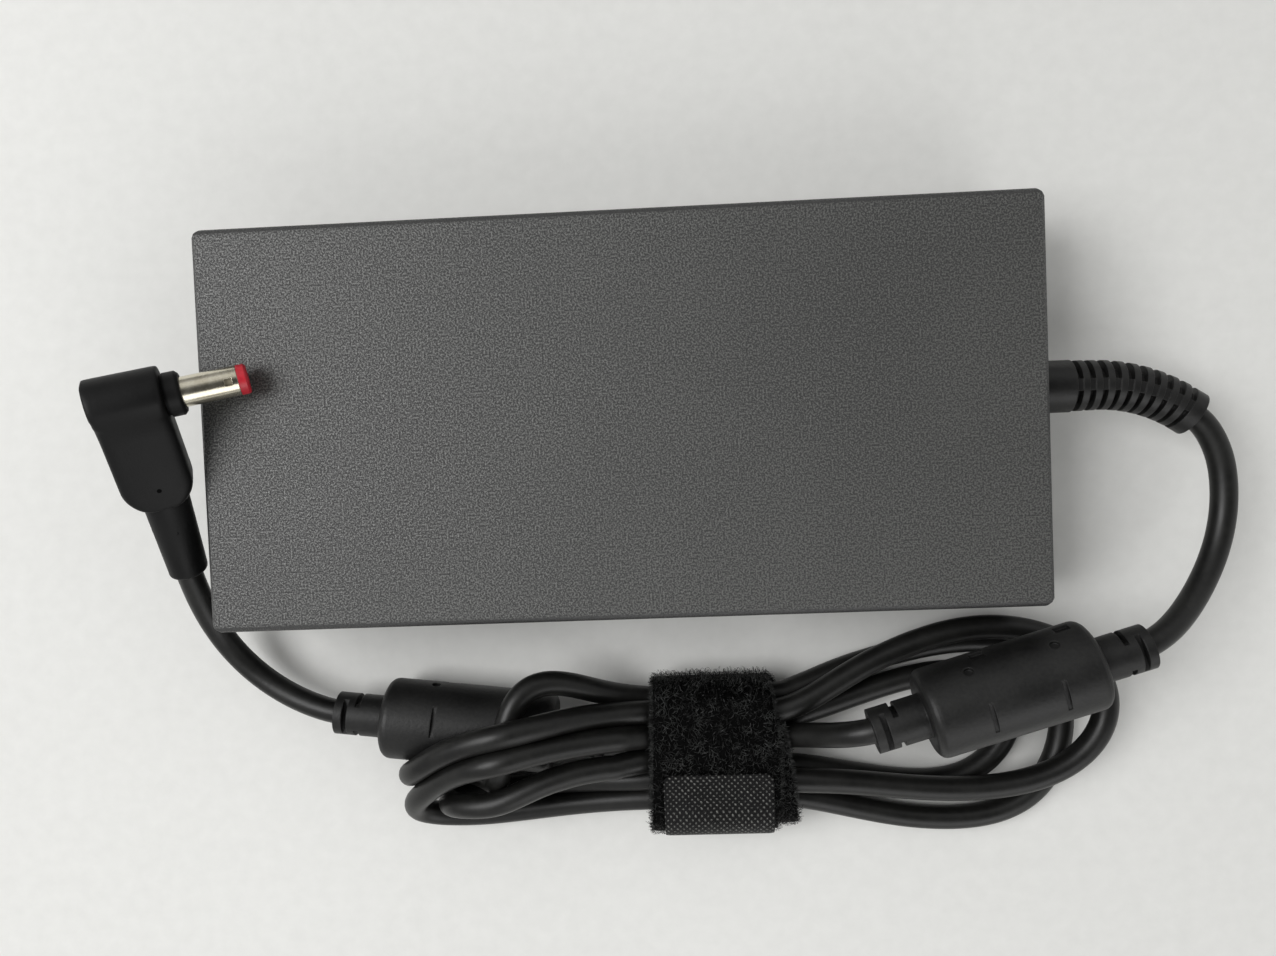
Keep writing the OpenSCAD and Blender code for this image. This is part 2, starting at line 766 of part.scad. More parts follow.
// Two leads from the cord's inner end down to the board
module output_leads() {
    corner = 1.8;
    lead_pitch = 4;
    colours = [[0.75, 0.10, 0.10], [0.08, 0.08, 0.08]];
    for (i = [0, 1]) color(colours[i]) translate([0, exit_y + (i - 0.5)*lead_pitch, 0]) tube([
        [output_lead_start, 0, parting], [output_lead_x + corner, 0, parting], [output_lead_x, 0, parting - corner],
        [output_lead_x, 0, board_top + corner], [output_lead_x, 0, board_top + press_gap]
    ], output_lead_diameter, 8);
}

// Point on the strain relief's axis at a distance from the wall, and the turn of the axis there
function relief_turn(s) = s < relief_straight ? 0 : (s - relief_straight)/relief_bend_radius*180/PI;
function relief_point(s) = [
    cord_end + min(s, relief_straight) + relief_bend_radius*sin(relief_turn(s)),
    exit_y - relief_bend_radius*(1 - cos(relief_turn(s))),
    parting
];

module at_relief(s) {
    translate(relief_point(s)) rotate([0, 90, -relief_turn(s)]) children();
}

// Overmoulded sleeve: a clamped flange and neck in the wall, then ribs on a core with a spine above and below
module strain_relief() {
    pitch = (relief_length - relief_first_slot - 1.2)/relief_slots;
    slim = (relief_diameter - relief_tip_diameter)/relief_length;
    color(soft_black) {
        at_relief(0) translate([0, 0, -wall - fit_gap - relief_flange.y])
            cylinder(d = relief_flange.x, h = relief_flange.y);
        at_relief(0) translate([0, 0, -wall - fit_gap - cut]) cylinder(d = relief_neck_diameter, h = wall + 2*cut);
        at_relief(0) translate([0, 0, fit_gap]) cylinder(d = relief_diameter, h = relief_first_slot - fit_gap);
        tube([for (i = [0:12]) relief_point(relief_first_slot - 0.5
            + i/12*(relief_length - relief_first_slot + 0.2))], relief_core_diameter, 12);
        for (i = [0:relief_slots - 1]) {
            start = relief_first_slot + i*pitch;
            at_relief(start + relief_slot) cylinder(
                d = relief_diameter - slim*start,
                h = pitch - relief_slot + (i == relief_slots - 1 ? 1.2 : 0)
            );
            at_relief(start - 0.3) translate([0, 0, (relief_slot + 0.6)/2])
                cube([relief_diameter - slim*start - 0.6, relief_spine, relief_slot + 0.6], center = true);
        }
    }
}

// Point on a ferrite sleeve's axis, beyond the end of the neck on one side
function sleeve_end(place, turn, size, side, beyond) =
    place + side*(size[1]/2 + sleeve_neck + beyond)*[cos(turn), sin(turn), 0];
function shifted(route, x) = [for (p = route) p + [x, 0, 0]];

// Overmoulded ferrite sleeve: round rims, a slotted neck at each end and the mould's windows
module sleeve(place, turn, size, roll) {
    half = size[1]/2;
    r = size[0]/2;
    stations = [-0.18, 0.23];
    neck_slot = 1;
    ferrite = [r - ferrite_skin, half - 3.4];
    color(soft_black) translate(place) rotate(turn) difference() {
        rotate([0, 90, 0]) rotate_extrude() difference() {
            polygon(concat(
                [[0, -half - sleeve_neck], [neck_diameter/2, -half - sleeve_neck], [neck_diameter/2, -half]],
                arc([r - sleeve_rim, sleeve_rim - half], sleeve_rim, -90, 0, 5),
                arc([r - sleeve_rim, half - sleeve_rim], sleeve_rim, 0, 90, 5),
                [[neck_diameter/2, half], [neck_diameter/2, half + sleeve_neck], [0, half + sleeve_neck]]
            ));
            translate([ferrite_bore/2 - fit_gap, -ferrite.y - fit_gap])
                square([ferrite.x - ferrite_bore/2 + 2*fit_gap, 2*(ferrite.y + fit_gap)]);
        }
        for (side = [-1, 1], k = [0, 1], face = [-1, 1])
            translate([side*(half + 5.4 + 2.4*k), k == 0 ? face*4.4 : 0, k == 0 ? 0 : face*4.4])
                cube([neck_slot, k == 0 ? 4 : 12, k == 0 ? 12 : 4], center = true);
        for (s = stations) rotate([roll, 0, 0]) {
            translate([s*size[1], 0, r]) cube([0.8, 5.8, 1.4], center = true);
            rotate([-66, 0, 0]) translate([1.2*s*size[1], 0, r - 0.7]) cylinder(d = 1.8, h = 2);
            rotate([-92, 0, 0]) translate([1.2*s*size[1] + 3, 0, r]) cube([2.8, 2.2, 1.4], center = true);
        }
    }
}

module ferrite(place, turn, size) {
    r = size[0]/2 - ferrite_skin;
    length = size[1] - 2*3.4;
    color(ferrite_grey) translate(place) rotate([0, 90, turn]) translate([0, 0, -length/2]) difference() {
        cylinder(r = r, h = length);
        translate([0, 0, -cut]) cylinder(d = ferrite_bore, h = length + 2*cut);
    }
}

module near_ferrite() ferrite(near_place, near_turn, near_size);

module near_sleeve() sleeve(near_place, near_turn, near_size, 11);

module far_ferrite() ferrite(far_place, far_turn, far_size);

module far_sleeve() sleeve(far_place, far_turn, far_size, -15);

// Cord from the strain relief to the near ferrite
module cord_lead_out() {
    start = relief_point(relief_length);
    along = [cos(relief_bend), -sin(relief_bend), 0];
    color(soft_black) tube(concat(
        [start + fit_gap*along, start + approach*along],
        shifted(lead_out_route, cord_end),
        [sleeve_end(near_place, near_turn, near_size, 1, approach), sleeve_end(near_place, near_turn, near_size, 1, fit_gap)]
    ), cord_diameter);
}

// Cord from the near ferrite down into the hank
module cord_lead_in() {
    color(soft_black) tube(concat(
        [sleeve_end(near_place, near_turn, near_size, -1, fit_gap), sleeve_end(near_place, near_turn, near_size, -1, approach)],
        shifted(lead_in_route, cord_end)
    ), cord_diameter);
}

// Plug: +X along the barrel, +Y towards the cord, +Z out of the body's upper face
module at_plug() {
    translate(plug_place) rotate([plug_slope, plug_dip, plug_turn]) mirror([0, 1, 0]) children();
}

// A point on the leg's axis, so far from the barrel's axis
function leg_point(far) = let (drop = far*sin(plug_slope), out = far*cos(plug_slope)) plug_place + [
    out*sin(plug_turn) - drop*sin(plug_dip)*cos(plug_turn),
    -out*cos(plug_turn) - drop*sin(plug_dip)*sin(plug_turn),
    -drop*cos(plug_dip)
];

// Cord from the far ferrite up to the plug
module cord_plug_lead() {
    end = plug_leg + plug_relief_length;
    color(soft_black) tube(concat(
        [sleeve_end(far_place, far_turn, far_size, -1, fit_gap), sleeve_end(far_place, far_turn, far_size, -1, approach)],
        shifted(plug_lead_route, inlet_end),
        [leg_point(end + approach), leg_point(end + fit_gap)]
    ), cord_diameter);
}

// Side view of the plug's body: round over the barrel, then a straight taper to the cord end
function plug_side() = let (r = plug_thickness/2, end = plug_leg_thickness/2) concat(
    arc([0, 0], r, 80, 280, 20), [[plug_leg, -end], [plug_leg, end]]
);

// Plan of the plug's body: square at the barrel, large corners at the cord end
function plug_plan() = let (w = plug_width/2, r = plug_thickness/2, c = plug_corner) concat(
    [[-w, -r - cut], [w, -r - cut]],
    arc([w - c, plug_leg - c], c, 0, 90, 8),
    arc([c - w, plug_leg - c], c, 90, 180, 8)
);

module plug_body() {
    pinhole = [0, plug_leg - 3.6];
    color(soft_black) at_plug() difference() {
        intersection() {
            translate([-plug_width/2 - cut, 0, 0]) along_x(plug_width + 2*cut) polygon(plug_side());
            translate([0, 0, -plug_thickness]) linear_extrude(2*plug_thickness) polygon(plug_plan());
        }
        translate([pinhole.x, pinhole.y, plug_leg_thickness/2 - 1]) cylinder(d = 0.9, h = 3);
        translate([plug_width/2 - 2, 0, 0]) rotate([0, 90, 0])
            cylinder(d = barrel_diameter + 2*press_gap, h = 2 + cut);
    }
}

// Moulded collar between the body and the barrel
module plug_collar() {
    edge = 0.5;
    groove = 0.4;
    inside = barrel_diameter/2 + press_gap;
    color(soft_black) at_plug() translate([plug_width/2, 0, 0]) rotate([0, 90, 0]) rotate_extrude() polygon([
        [inside, 0], [collar_diameter/2 - groove, 0], [collar_diameter/2 - groove, groove],
        [collar_diameter/2, groove], [collar_diameter/2, collar_length - edge],
        [collar_diameter/2 - edge, collar_length], [inside, collar_length]
    ]);
}

// Barrel: a thin metal tube with a small notch near its open end
module plug_barrel() {
    start = plug_width/2 - 2 + press_gap;
    end = plug_width/2 + collar_length + barrel_length - tip_ring;
    color(nickel) at_plug() difference() {
        translate([start, 0, 0]) rotate([0, 90, 0]) difference() {
            cylinder(d = barrel_diameter, h = end - start);
            translate([0, 0, -cut]) cylinder(d = barrel_diameter - 2*barrel_wall, h = end - start + 2*cut);
        }
        translate([end - 1.6, -1, barrel_diameter/2]) cube([1.2, 1.2, 2], center = true);
    }
}

// Red insulator: a ring at the tip, on a sleeve inside the barrel
module plug_insulator() {
    sleeve_outside = barrel_diameter - 2*barrel_wall - 2*press_gap;
    sleeve_inside = contact_bore + 2*contact_wall + 2*press_gap;
    start = plug_width/2 + 0.5;
    ring = plug_width/2 + collar_length + barrel_length - tip_ring + press_gap;
    color(tip_red) at_plug() rotate([0, 90, 0]) rotate_extrude() polygon([
        [sleeve_inside/2, start], [sleeve_outside/2, start], [sleeve_outside/2, ring],
        [barrel_diameter/2, ring], [barrel_diameter/2, ring + tip_ring - 0.4],
        [barrel_diameter/2 - 0.3, ring + tip_ring - press_gap], [sleeve_inside/2, ring + tip_ring - press_gap]
    ]);
}

// Centre contact: a sprung sleeve that takes the device's pin
module plug_contact() {
    start = plug_width/2 + 0.5;
    end = plug_width/2 + collar_length + barrel_length - 0.6;
    color(nickel) at_plug() translate([start, 0, 0]) rotate([0, 90, 0]) difference() {
        cylinder(d = contact_bore + 2*contact_wall, h = end - start);
        translate([0, 0, 2]) cylinder(d = contact_bore, h = end - start);
    }
}

module plug_relief() {
    d = plug_relief_diameter;
    round_end = 0.8;
    color(soft_black) at_plug() difference() {
        translate([0, plug_leg + press_gap, 0]) rotate([-90, 0, 0]) rotate_extrude() polygon(concat(
            [[0, 0], [d[0]/2, 0]],
            arc([d[1]/2 - round_end, plug_relief_length - round_end], round_end, 0, 90, 4),
            [[0, plug_relief_length]]
        ));
        translate([0, plug_leg + 7.5, d[0]/2 - 1.2]) cylinder(d = 0.9, h = 2);
    }
}

// Hank outline: a lobe on each side of the waist
right_lobe = [
    [32, -57], [37, -52], [46, -46], [58, -42.6], [72, -41.6], [84, -44], [92, -50], [95.4, -59],
    [94, -70], [88.5, -79.5], [78, -85], [64, -86.6], [46, -85], [32, -81]
];
left_lobe = [
    [-1, -80.5], [-17, -82.4], [-34, -84], [-44, -83], [-48.5, -78], [-48.8, -72.5], [-43, -66],
    [-33, -60], [-27, -52], [-20, -49.6], [-8, -52], [-1, -55]
];

module cord_hank() {
    waist = [tie_x - 5, tie_x + tie_width + tie_inner_extra + 1];
    clearance = rest_gap;
    color(soft_black) difference() {
        union() {
            linear_extrude(hank_height) polygon(right_lobe);
            linear_extrude(hank_height) polygon(left_lobe);
            translate([waist[0], tie_middle, waist_base + waist_height/2]) along_x(waist[1] - waist[0])
                polygon(round_rect(waist_width, waist_height, waist_radius));
            translate([-30, -64, hank_height - 1]) linear_extrude(saddle_top - hank_height + 1)
                polygon(round_rect(26, 22, 8));
        }
        translate(far_place) rotate([0, 90, far_turn]) translate([0, 0, -40])
            cylinder(d = far_diameter + 2*clearance, h = 40 + far_length/2 + clearance);
        translate(far_place) rotate([0, 90, far_turn])
            cylinder(d = neck_diameter + 2*clearance, h = far_length/2 + sleeve_neck + clearance);
    }
}

// One turn of the tie around the hank's waist, at a distance from it
module tie_turn(inside, thickness, length) {
    w = waist_width + 2*inside;
    h = waist_height + 2*inside;
    translate([0, tie_middle, waist_base + waist_height/2]) along_x(length) difference() {
        polygon(round_rect(w + 2*thickness, h + 2*thickness, waist_radius + inside + thickness));
        polygon(round_rect(w, h, waist_radius + inside));
    }
}

// Hook-and-loop strap, wound twice: the inner turn shows beside the outer one
module tie_strap() {
    color(pile_black) translate([tie_x, 0, 0]) {
        tie_turn(fit_gap, tie_thickness, tie_width + tie_inner_extra);
        tie_turn(fit_gap + tie_thickness - 0.02, tie_thickness, tie_width);
    }
}

// Woven hook end, pressed onto the loop side and folded over the front edge
module tie_tab() {
    tab = [2.4, 21.5];
    color([0.05, 0.05, 0.055]) intersection() {
        translate([tie_x + tab[0], 0, 0]) tie_turn(2*fit_gap + 2*tie_thickness, 0.9, tab[1]);
        translate([tie_x, tie_middle - 20, 3.5]) cube([tie_width, 20 - 2.4, 12]);
    }
}

top_shell();
bottom_shell();
upper_heat_spreader();
lower_heat_spreader();
insulation_sheet();
circuit_board();
inlet_body();
line_pin();
neutral_pin();
earth_pin();
inlet_leads();
fuse();
surge_suppressor();
filter_capacitor();
choke_core();
choke_windings();
bridge_rectifier();
inductor_core();
inductor_winding();
bulk_capacitor();
primary_heat_sink();
power_transistors();
transformer_core();
transformer_winding();
thermal_pad();
secondary_heat_sink();
output_rectifiers();
output_capacitors();
output_choke();
safety_capacitors();
optocouplers();
control_board();
output_leads();
strain_relief();
cord_lead_out();
near_ferrite();
near_sleeve();
cord_lead_in();
cord_hank();
tie_strap();
tie_tab();
far_ferrite();
far_sleeve();
cord_plug_lead();
plug_relief();
plug_body();
plug_collar();
plug_barrel();
plug_insulator();
plug_contact();
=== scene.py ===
import math

import bpy
import numpy as np
from mathutils import Matrix, Vector


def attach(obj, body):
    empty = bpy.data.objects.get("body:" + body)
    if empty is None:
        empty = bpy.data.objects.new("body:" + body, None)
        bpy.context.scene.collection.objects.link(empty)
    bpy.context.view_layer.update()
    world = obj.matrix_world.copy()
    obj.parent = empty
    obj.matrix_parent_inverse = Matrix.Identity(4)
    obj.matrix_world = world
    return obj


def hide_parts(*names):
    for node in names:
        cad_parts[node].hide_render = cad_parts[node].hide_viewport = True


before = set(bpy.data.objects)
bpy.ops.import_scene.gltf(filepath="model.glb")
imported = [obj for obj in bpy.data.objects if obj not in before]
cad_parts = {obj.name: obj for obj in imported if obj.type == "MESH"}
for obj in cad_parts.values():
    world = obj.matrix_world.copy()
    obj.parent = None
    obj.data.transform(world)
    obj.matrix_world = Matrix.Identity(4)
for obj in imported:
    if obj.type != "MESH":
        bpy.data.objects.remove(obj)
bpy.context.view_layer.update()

# --- Camera -----------------------------------------------------------------
# A wide lens almost straight above the adapter, as someone sees it who lays it
# on a table and looks down on it.

mm = 0.001
scene = bpy.context.scene
lens = bpy.data.cameras.new("overhead_lens")
lens.lens = 27.03
lens.sensor_width = 36
camera = bpy.data.objects.new("overhead_camera", lens)
camera.location = (0.01067, -0.00550, 0.19919)
camera.rotation_euler = [math.radians(a) for a in (-2.048, 2.360, -2.293)]
scene.collection.objects.link(camera)
scene.camera = camera

# --- Output cord ------------------------------------------------------------
# One two-core lead in a soft PVC jacket, from the strain relief through the near
# ferrite, seven times through the tie as a hank, and through the far ferrite to
# the plug. It is extruded in one length and folded by hand.

cord_thickness = 4.8
cord_step = 2.0
jacket_lift = cord_thickness/2 + 0.03
relief_start, relief_bend = (90, 2.5, 12.5), 30


def arc_of_relief(turn):
    """A point on the strain relief's bend, after so many degrees of it."""
    a = math.radians(turn)
    x, y, z = relief_start
    return (x + relief_bend*math.sin(a), y - relief_bend*(1 - math.cos(a)), z)


lead_out = [arc_of_relief(a) for a in (0, 8, 16, 24, 31, 38)] + [
    (110.4, -5.3, 12.5), (112.9, -9.6, 12.3), (114.2, -13.8, 12), (114.7, -18.5, 11.7),
    (114.6, -23.2, 11.6), (113.2, -29, 11.9), (110.3, -34.5, 12.8), (105.9, -39.4, 14.8),
    (101.9, -42.5, 17.4), (97.6, -45.4, 20.3),
]
near_sleeve_run = [(95.3, -46.1, 20.7), (44.9, -60.5, 20.7)]
first_left_turn = [
    (42, -61.3, 20), (39, -62.2, 18), (36.4, -63, 15), (34, -63.8, 12), (31.5, -64.6, 9.9),
    (28, -65, 9.1), (17, -64.6, 9.1), (3.5, -63.8, 9.1), (-0.5, -63.3, 10.2), (-4.5, -62.8, 12.2),
    (-11.5, -62.2, 16), (-17, -62, 19), (-21.5, -62.2, 20.8), (-25, -62.8, 21), (-29, -64, 19.8),
    (-33, -65.7, 18), (-37.5, -68, 15.8), (-41, -70.5, 13.7), (-44.3, -73.3, 11.6), (-46.6, -76, 9),
    (-47.2, -78.3, 6.4), (-46, -80.2, 4), (-43, -81, 2.7), (-39, -81, 2.5), (-35, -80.9, 2.5),
    (-29, -80.6, 2.5), (-23, -80.2, 2.5), (-17.5, -79.7, 2.5), (-11.5, -79, 2.8), (-5.5, -78.2, 3.6),
    (-1, -77.8, 4.4), (3.5, -77.4, 5),
]
outer_right_turn = [
    (17, -77.5, 5), (31, -77.6, 4.9), (33, -78.5, 4.4), (36.5, -79.5, 3.6), (40, -80.5, 2.9),
    (44.5, -81.5, 2.5), (48.5, -82.5, 2.5), (53, -83.5, 2.5), (57.5, -84, 2.5), (63.5, -84, 2.5),
    (67.5, -84, 2.5), (70.5, -84, 2.5), (74, -83, 2.5), (76.5, -82, 2.5), (79.5, -80.5, 2.5),
    (81.5, -79, 2.5), (83.5, -76.5, 2.5), (84.5, -73.5, 2.5), (85.5, -70, 2.5), (86.5, -66.5, 2.5),
    (86.5, -63, 2.5), (86.5, -59.5, 2.5), (85.5, -56, 2.5), (83.5, -52.5, 2.5), (80.5, -50, 2.5),
    (76.5, -48.5, 2.5), (71.5, -48, 2.5), (66.5, -48, 2.5), (60.5, -48.5, 2.5), (54, -50, 2.5),
    (47, -51.5, 2.5), (42, -52.5, 2.8), (38.5, -53.5, 3.4), (35, -54.5, 4.4), (31, -56.6, 5.1),
]
over_sleeve_turn = [
    (17, -57.6, 5), (3.5, -58.6, 4.8), (0.5, -58.6, 5.6), (-2.5, -57.4, 7.6), (-7, -54.9, 10.4),
    (-11, -52.4, 12.9), (-14, -50.8, 14.4), (-16.5, -49.9, 15.6), (-19, -49.7, 16.7),
    (-21.2, -50.3, 17.7), (-22.9, -52, 18.4), (-23.8, -54.3, 18.8), (-24.3, -57, 19),
    (-24.6, -60, 18.8), (-25, -63, 18), (-25.4, -66.5, 16.4), (-25.9, -69.6, 14.2), (-26.6, -71.8, 11),
    (-28.2, -72.4, 7.2), (-30.8, -72.1, 4.2), (-34, -71.5, 2.7), (-38, -71.2, 2.5), (-42, -71.2, 2.8),
    (-45, -71.2, 4.8), (-46.6, -70.9, 8), (-46, -69.8, 11.2), (-43.5, -68, 14), (-39.8, -65.5, 16.2),
    (-37, -63.7, 17.6), (-34, -62.2, 19), (-31.5, -61, 20.6), (-28, -59.7, 22.2), (-24.5, -58.9, 23.4),
    (-21, -58.5, 23), (-18, -58.5, 21.2), (-14.5, -58.5, 18.6), (-11, -58.6, 16), (-8, -58.8, 13.4),
    (-4.5, -59, 11.2), (-0.5, -59.2, 9.7), (3.5, -59.4, 9.1),
]
high_right_turn = [
    (17, -59.3, 9.1), (31, -58.9, 9), (34.5, -57, 8.4), (37, -55.5, 8), (40, -54, 7.6), (46, -51, 7.4),
    (49.5, -49.5, 7.4), (53, -48, 7.4), (56.5, -47, 7.4), (59.5, -46, 7.4), (63, -45, 7.4),
    (66, -44.5, 7.4), (69.5, -44, 7.4), (72.5, -44.5, 7.4), (75.5, -44.5, 7.4), (78.5, -45.5, 7.5),
    (81.5, -46, 7.7), (84.5, -47.5, 8), (87, -48.8, 8.3), (90, -50.8, 8.6), (92, -53.5, 8.8),
    (93.3, -56.5, 8.8), (93.6, -59.5, 8.8), (93.2, -62.5, 8.8), (92.1, -65.2, 8.7), (90.5, -67.7, 8.6),
    (88.5, -69.9, 8.4), (86, -71.8, 8.2), (82.8, -73.6, 7.8), (79.3, -74.9, 7.6), (76, -75.5, 7.5),
    (72.5, -76, 7.4), (69.5, -76.5, 7.4), (66, -76.5, 7.4), (62.5, -76.5, 7.4), (59.5, -76.5, 7.5),
    (56.5, -76, 7.7), (52, -75.5, 8.1), (47.5, -75, 8.5), (43.5, -74, 8.8), (39, -73.5, 9),
    (35, -73, 9.1), (31, -73.6, 9.1),
]
middle_left_turn = [
    (17, -71.5, 9.1), (3.5, -68.2, 9.2), (-0.5, -67.4, 10.2), (-5, -67.3, 11.6), (-8.5, -67.5, 12.8),
    (-12, -67.9, 13.8), (-16, -68.6, 14.5), (-19.5, -69.5, 14.8), (-23, -70.6, 15), (-27, -71.9, 15),
    (-30.5, -73.2, 14.9), (-34, -74.4, 14.5), (-37.4, -75.5, 12.8), (-39.7, -76.3, 9.8),
    (-39.9, -76.6, 6.6), (-38, -76.5, 3.9), (-34.8, -76.2, 2.6), (-31, -75.9, 2.5), (-27.5, -75.6, 2.5),
    (-24.5, -75.3, 2.5), (-21.5, -75, 2.5), (-17.5, -74.7, 2.6), (-13.5, -74.4, 3), (-9.5, -74.2, 3.8),
    (-5.5, -74, 4.8), (-1, -73.8, 6.2), (3.5, -73.4, 7.6),
]
inner_right_turn = [
    (17, -72.6, 6), (31, -71.2, 4.9), (33.5, -72.5, 4.7), (36.5, -73, 4.3), (40, -73.5, 3.7),
    (44.5, -74.5, 2.9), (49, -75.5, 2.5), (53.5, -76, 2.5), (57.5, -76.5, 2.5), (61.5, -76.5, 2.5),
    (64.5, -76.5, 2.5), (67.5, -75.5, 2.5), (70, -74.5, 2.5), (71.5, -72.5, 2.5), (73.5, -70.5, 2.5),
    (75, -68, 2.5), (76.5, -65.5, 2.5), (77, -62.5, 2.5), (77, -59.5, 2.5), (75.5, -57, 2.5),
    (73, -55.5, 2.5), (70, -54.5, 2.5), (66.5, -54, 2.5), (62.5, -54, 2.5), (59, -54.5, 2.5),
    (55.5, -55.5, 2.5), (52.5, -56, 2.6), (49.5, -57, 2.9), (45, -58, 3.4), (40.5, -59, 4),
    (36.5, -60.5, 4.5), (31, -62.4, 4.8),
]
last_run = [
    (17, -64.2, 4.7), (6, -66, 4.9), (1.5, -65.7, 5.9), (-2, -64.9, 7.4), (-6.25, -64.1, 8.1),
]
plug_lead = [
    (-60.35, -57.5, 8.1), (-67.5, -55, 7.4), (-72.3, -53.1, 6.6), (-76.3, -50.4, 6.4),
    (-79.9, -47, 6.9), (-82.7, -42.9, 8), (-84.7, -38, 9.9), (-85.4, -33.5, 12.5), (-85.1, -28, 16.6),
    (-85.18, -20.96, 20.44),
]
cord_route = (
    lead_out + near_sleeve_run + first_left_turn + outer_right_turn + over_sleeve_turn
    + high_right_turn + middle_left_turn + inner_right_turn + last_run + plug_lead
)

# The necks hold the cord along these two lines, and the sleeves' bodies are thicker.
near_neck = tuple(near_sleeve_run[::-1])
far_neck = (plug_lead[0], last_run[-1])
off_neck, off_near_body, off_far_body = 6.7, 10.9, 10.5
sleeve_bars = [
    ((56.2, -57.3, 20.7), (84, -49.3, 20.7), off_near_body), (*near_neck, off_neck),
    ((-48.7, -58.9, 8.1), (-17.9, -62.7, 8.1), off_far_body), (*far_neck, off_neck),
]

# The tie leaves the cord's middle line this much room, across it in Y and Z.
tied_left, tied_right, tied_below, tied_in_front = 2.5, 31.5, 16, -50
tied_middle, tied_half, tied_corner = np.array([-67.4, 6.9]), np.array([9.4, 0.15]), 2.05


def spaced(points, step):
    """The same line with its points one step apart."""
    points = np.asarray(points, float)
    along = np.concatenate([[0], np.cumsum(np.linalg.norm(np.diff(points, axis=0), axis=1))])
    count = int(round(along[-1]/step)) + 1
    return np.stack([np.interp(np.linspace(0, along[-1], count), along, points[:, k]) for k in range(3)], 1)


def off_bar(line, a, b):
    """How each point of a line lies off a bar's middle, which runs from a to b."""
    a, b = np.array(a), np.array(b)
    t = np.clip((line - a) @ (b - a)/((b - a) @ (b - a)), 0, 1)
    return line - (a + t[:, None]*(b - a))


def outside_bar(line, a, b, radius, loose):
    """Moves the loose points of a line out of a round bar from a to b."""
    out = off_bar(line, a, b)
    far = np.linalg.norm(out, axis=1)
    push = np.clip(radius - far, 0, None)*loose
    return line + out/np.maximum(far, 1e-6)[:, None]*push[:, None]


def within_tie(line):
    """Keeps the runs under the tie inside its flat round-ended opening."""
    x, y, z = line.T
    tied = (x > tied_left) & (x < tied_right) & (z < tied_below) & (y < tied_in_front)
    away = line[tied, 1:] - tied_middle
    flat = np.clip(away, -tied_half, tied_half)
    past = away - flat
    far = np.linalg.norm(past, axis=1)
    past *= np.minimum(1, tied_corner/np.maximum(far, 1e-6))[:, None]
    line[tied, 1:] = tied_middle + flat + past
    return line


def laid(route, held, bars, rounds):
    """Lets a cord settle as a springy rod: its runs lie beside and over each other, on the table, round
    the sleeves and inside the tie. Both ends and the stretches in the held bars stay where they are."""
    held_within, held_at_relief, held_at_plug, held_weight = 0.3, 18, 4, 2000.0
    bent_apart, run_gap, run_push = 5, 0.08, 0.2
    spring = {"early": 3.0, "late": 0.6}
    recall = {"early": 0.03, "late": 0.01}
    line = spaced(route, cord_step)
    count = len(line)
    loose = np.ones(count)
    for a, b in held:
        loose[np.linalg.norm(off_bar(line, a, b), axis=1) < held_within] = 0
    loose[:held_at_relief] = loose[-held_at_plug:] = 0
    gripped = np.flatnonzero(loose == 0)
    order = np.arange(count)
    entering = np.min(np.abs(order[:, None] - gripped[None, :]), axis=1) < bent_apart
    far_along = np.abs(order[:, None] - order[None, :]) > bent_apart
    bend = np.diff(np.eye(count), 2, axis=0)
    weight = np.diag(np.where(loose > 0, 1.0, held_weight))
    springy = {time: np.linalg.solve(weight + s*bend.T @ bend, weight) for time, s in spring.items()}
    first = line.copy()
    for turn in range(rounds):
        time = "late" if turn > rounds*0.8 else "early"
        goal = line + (first - line)*recall[time]*loose[:, None]
        apart = line[:, None] - line[None, :]
        gap = np.linalg.norm(apart, axis=2) + 1e-9
        short = np.where(far_along, np.clip(cord_thickness + run_gap - gap, 0, None), 0)
        goal += ((apart/gap[:, :, None])*short[:, :, None]).sum(1)*run_push*loose[:, None]
        line = springy[time] @ goal
        for a, b, radius in bars:
            line = outside_bar(line, a, b, radius, np.where(entering, 0, loose))
        line = within_tie(line)
        line[:, 2] = np.maximum(line[:, 2], jacket_lift)
    return line


def smoothed(line, parts):
    """A smooth curve through every point of a line, with so many parts from point to point."""
    ends = np.vstack([2*line[0] - line[1], line, 2*line[-1] - line[-2]])
    a, b, c, d = ends[:-3], ends[1:-2], ends[2:-1], ends[3:]
    rows = []
    for t in np.arange(parts)/parts:
        rows.append(0.5*(2*b + (c - a)*t + (2*a - 5*b + 4*c - d)*t**2 + (3*b - a - 3*c + d)*t**3))
    return np.vstack([np.stack(rows, 1).reshape(-1, 3), line[-1]])


def skin_over(rings, around, closed=("start", "end")):
    """The faces over rings of points: walls from ring to ring, and a cap on each closed end."""
    faces = []
    for ring in range(0, (rings - 1)*around, around):
        for k in range(around):
            a, b = ring + k, ring + (k + 1) % around
            faces.append((a, b, b + around, a + around))
    if "start" in closed:
        faces.append(tuple(range(around))[::-1])
    if "end" in closed:
        faces.append(tuple(range((rings - 1)*around, rings*around)))
    return faces


def made_piece(name, points, faces):
    """A smooth piece from its points and faces, riding with the adapter."""
    mesh = bpy.data.meshes.new(name)
    mesh.from_pydata([tuple(p) for p in points], [], faces)
    mesh.shade_smooth()
    piece = bpy.data.objects.new(name, mesh)
    scene.collection.objects.link(piece)
    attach(piece, "root")
    return piece


def jacket_round(line, radius, around):
    """The jacket's points, as a ring of them round each point of the cord's middle line."""
    ways = np.gradient(line, axis=0)
    ways /= np.linalg.norm(ways, axis=1)[:, None]
    side = np.cross(ways[0], (0.1, 0.2, 1))
    side /= np.linalg.norm(side)
    turns = np.arange(around)*2*math.pi/around
    points = []
    for place, way in zip(line, ways):
        side = side - way*(side @ way)
        side /= np.linalg.norm(side)
        up = np.cross(way, side)
        points += [place + radius*(math.cos(t)*side + math.sin(t)*up) for t in turns]
    return points


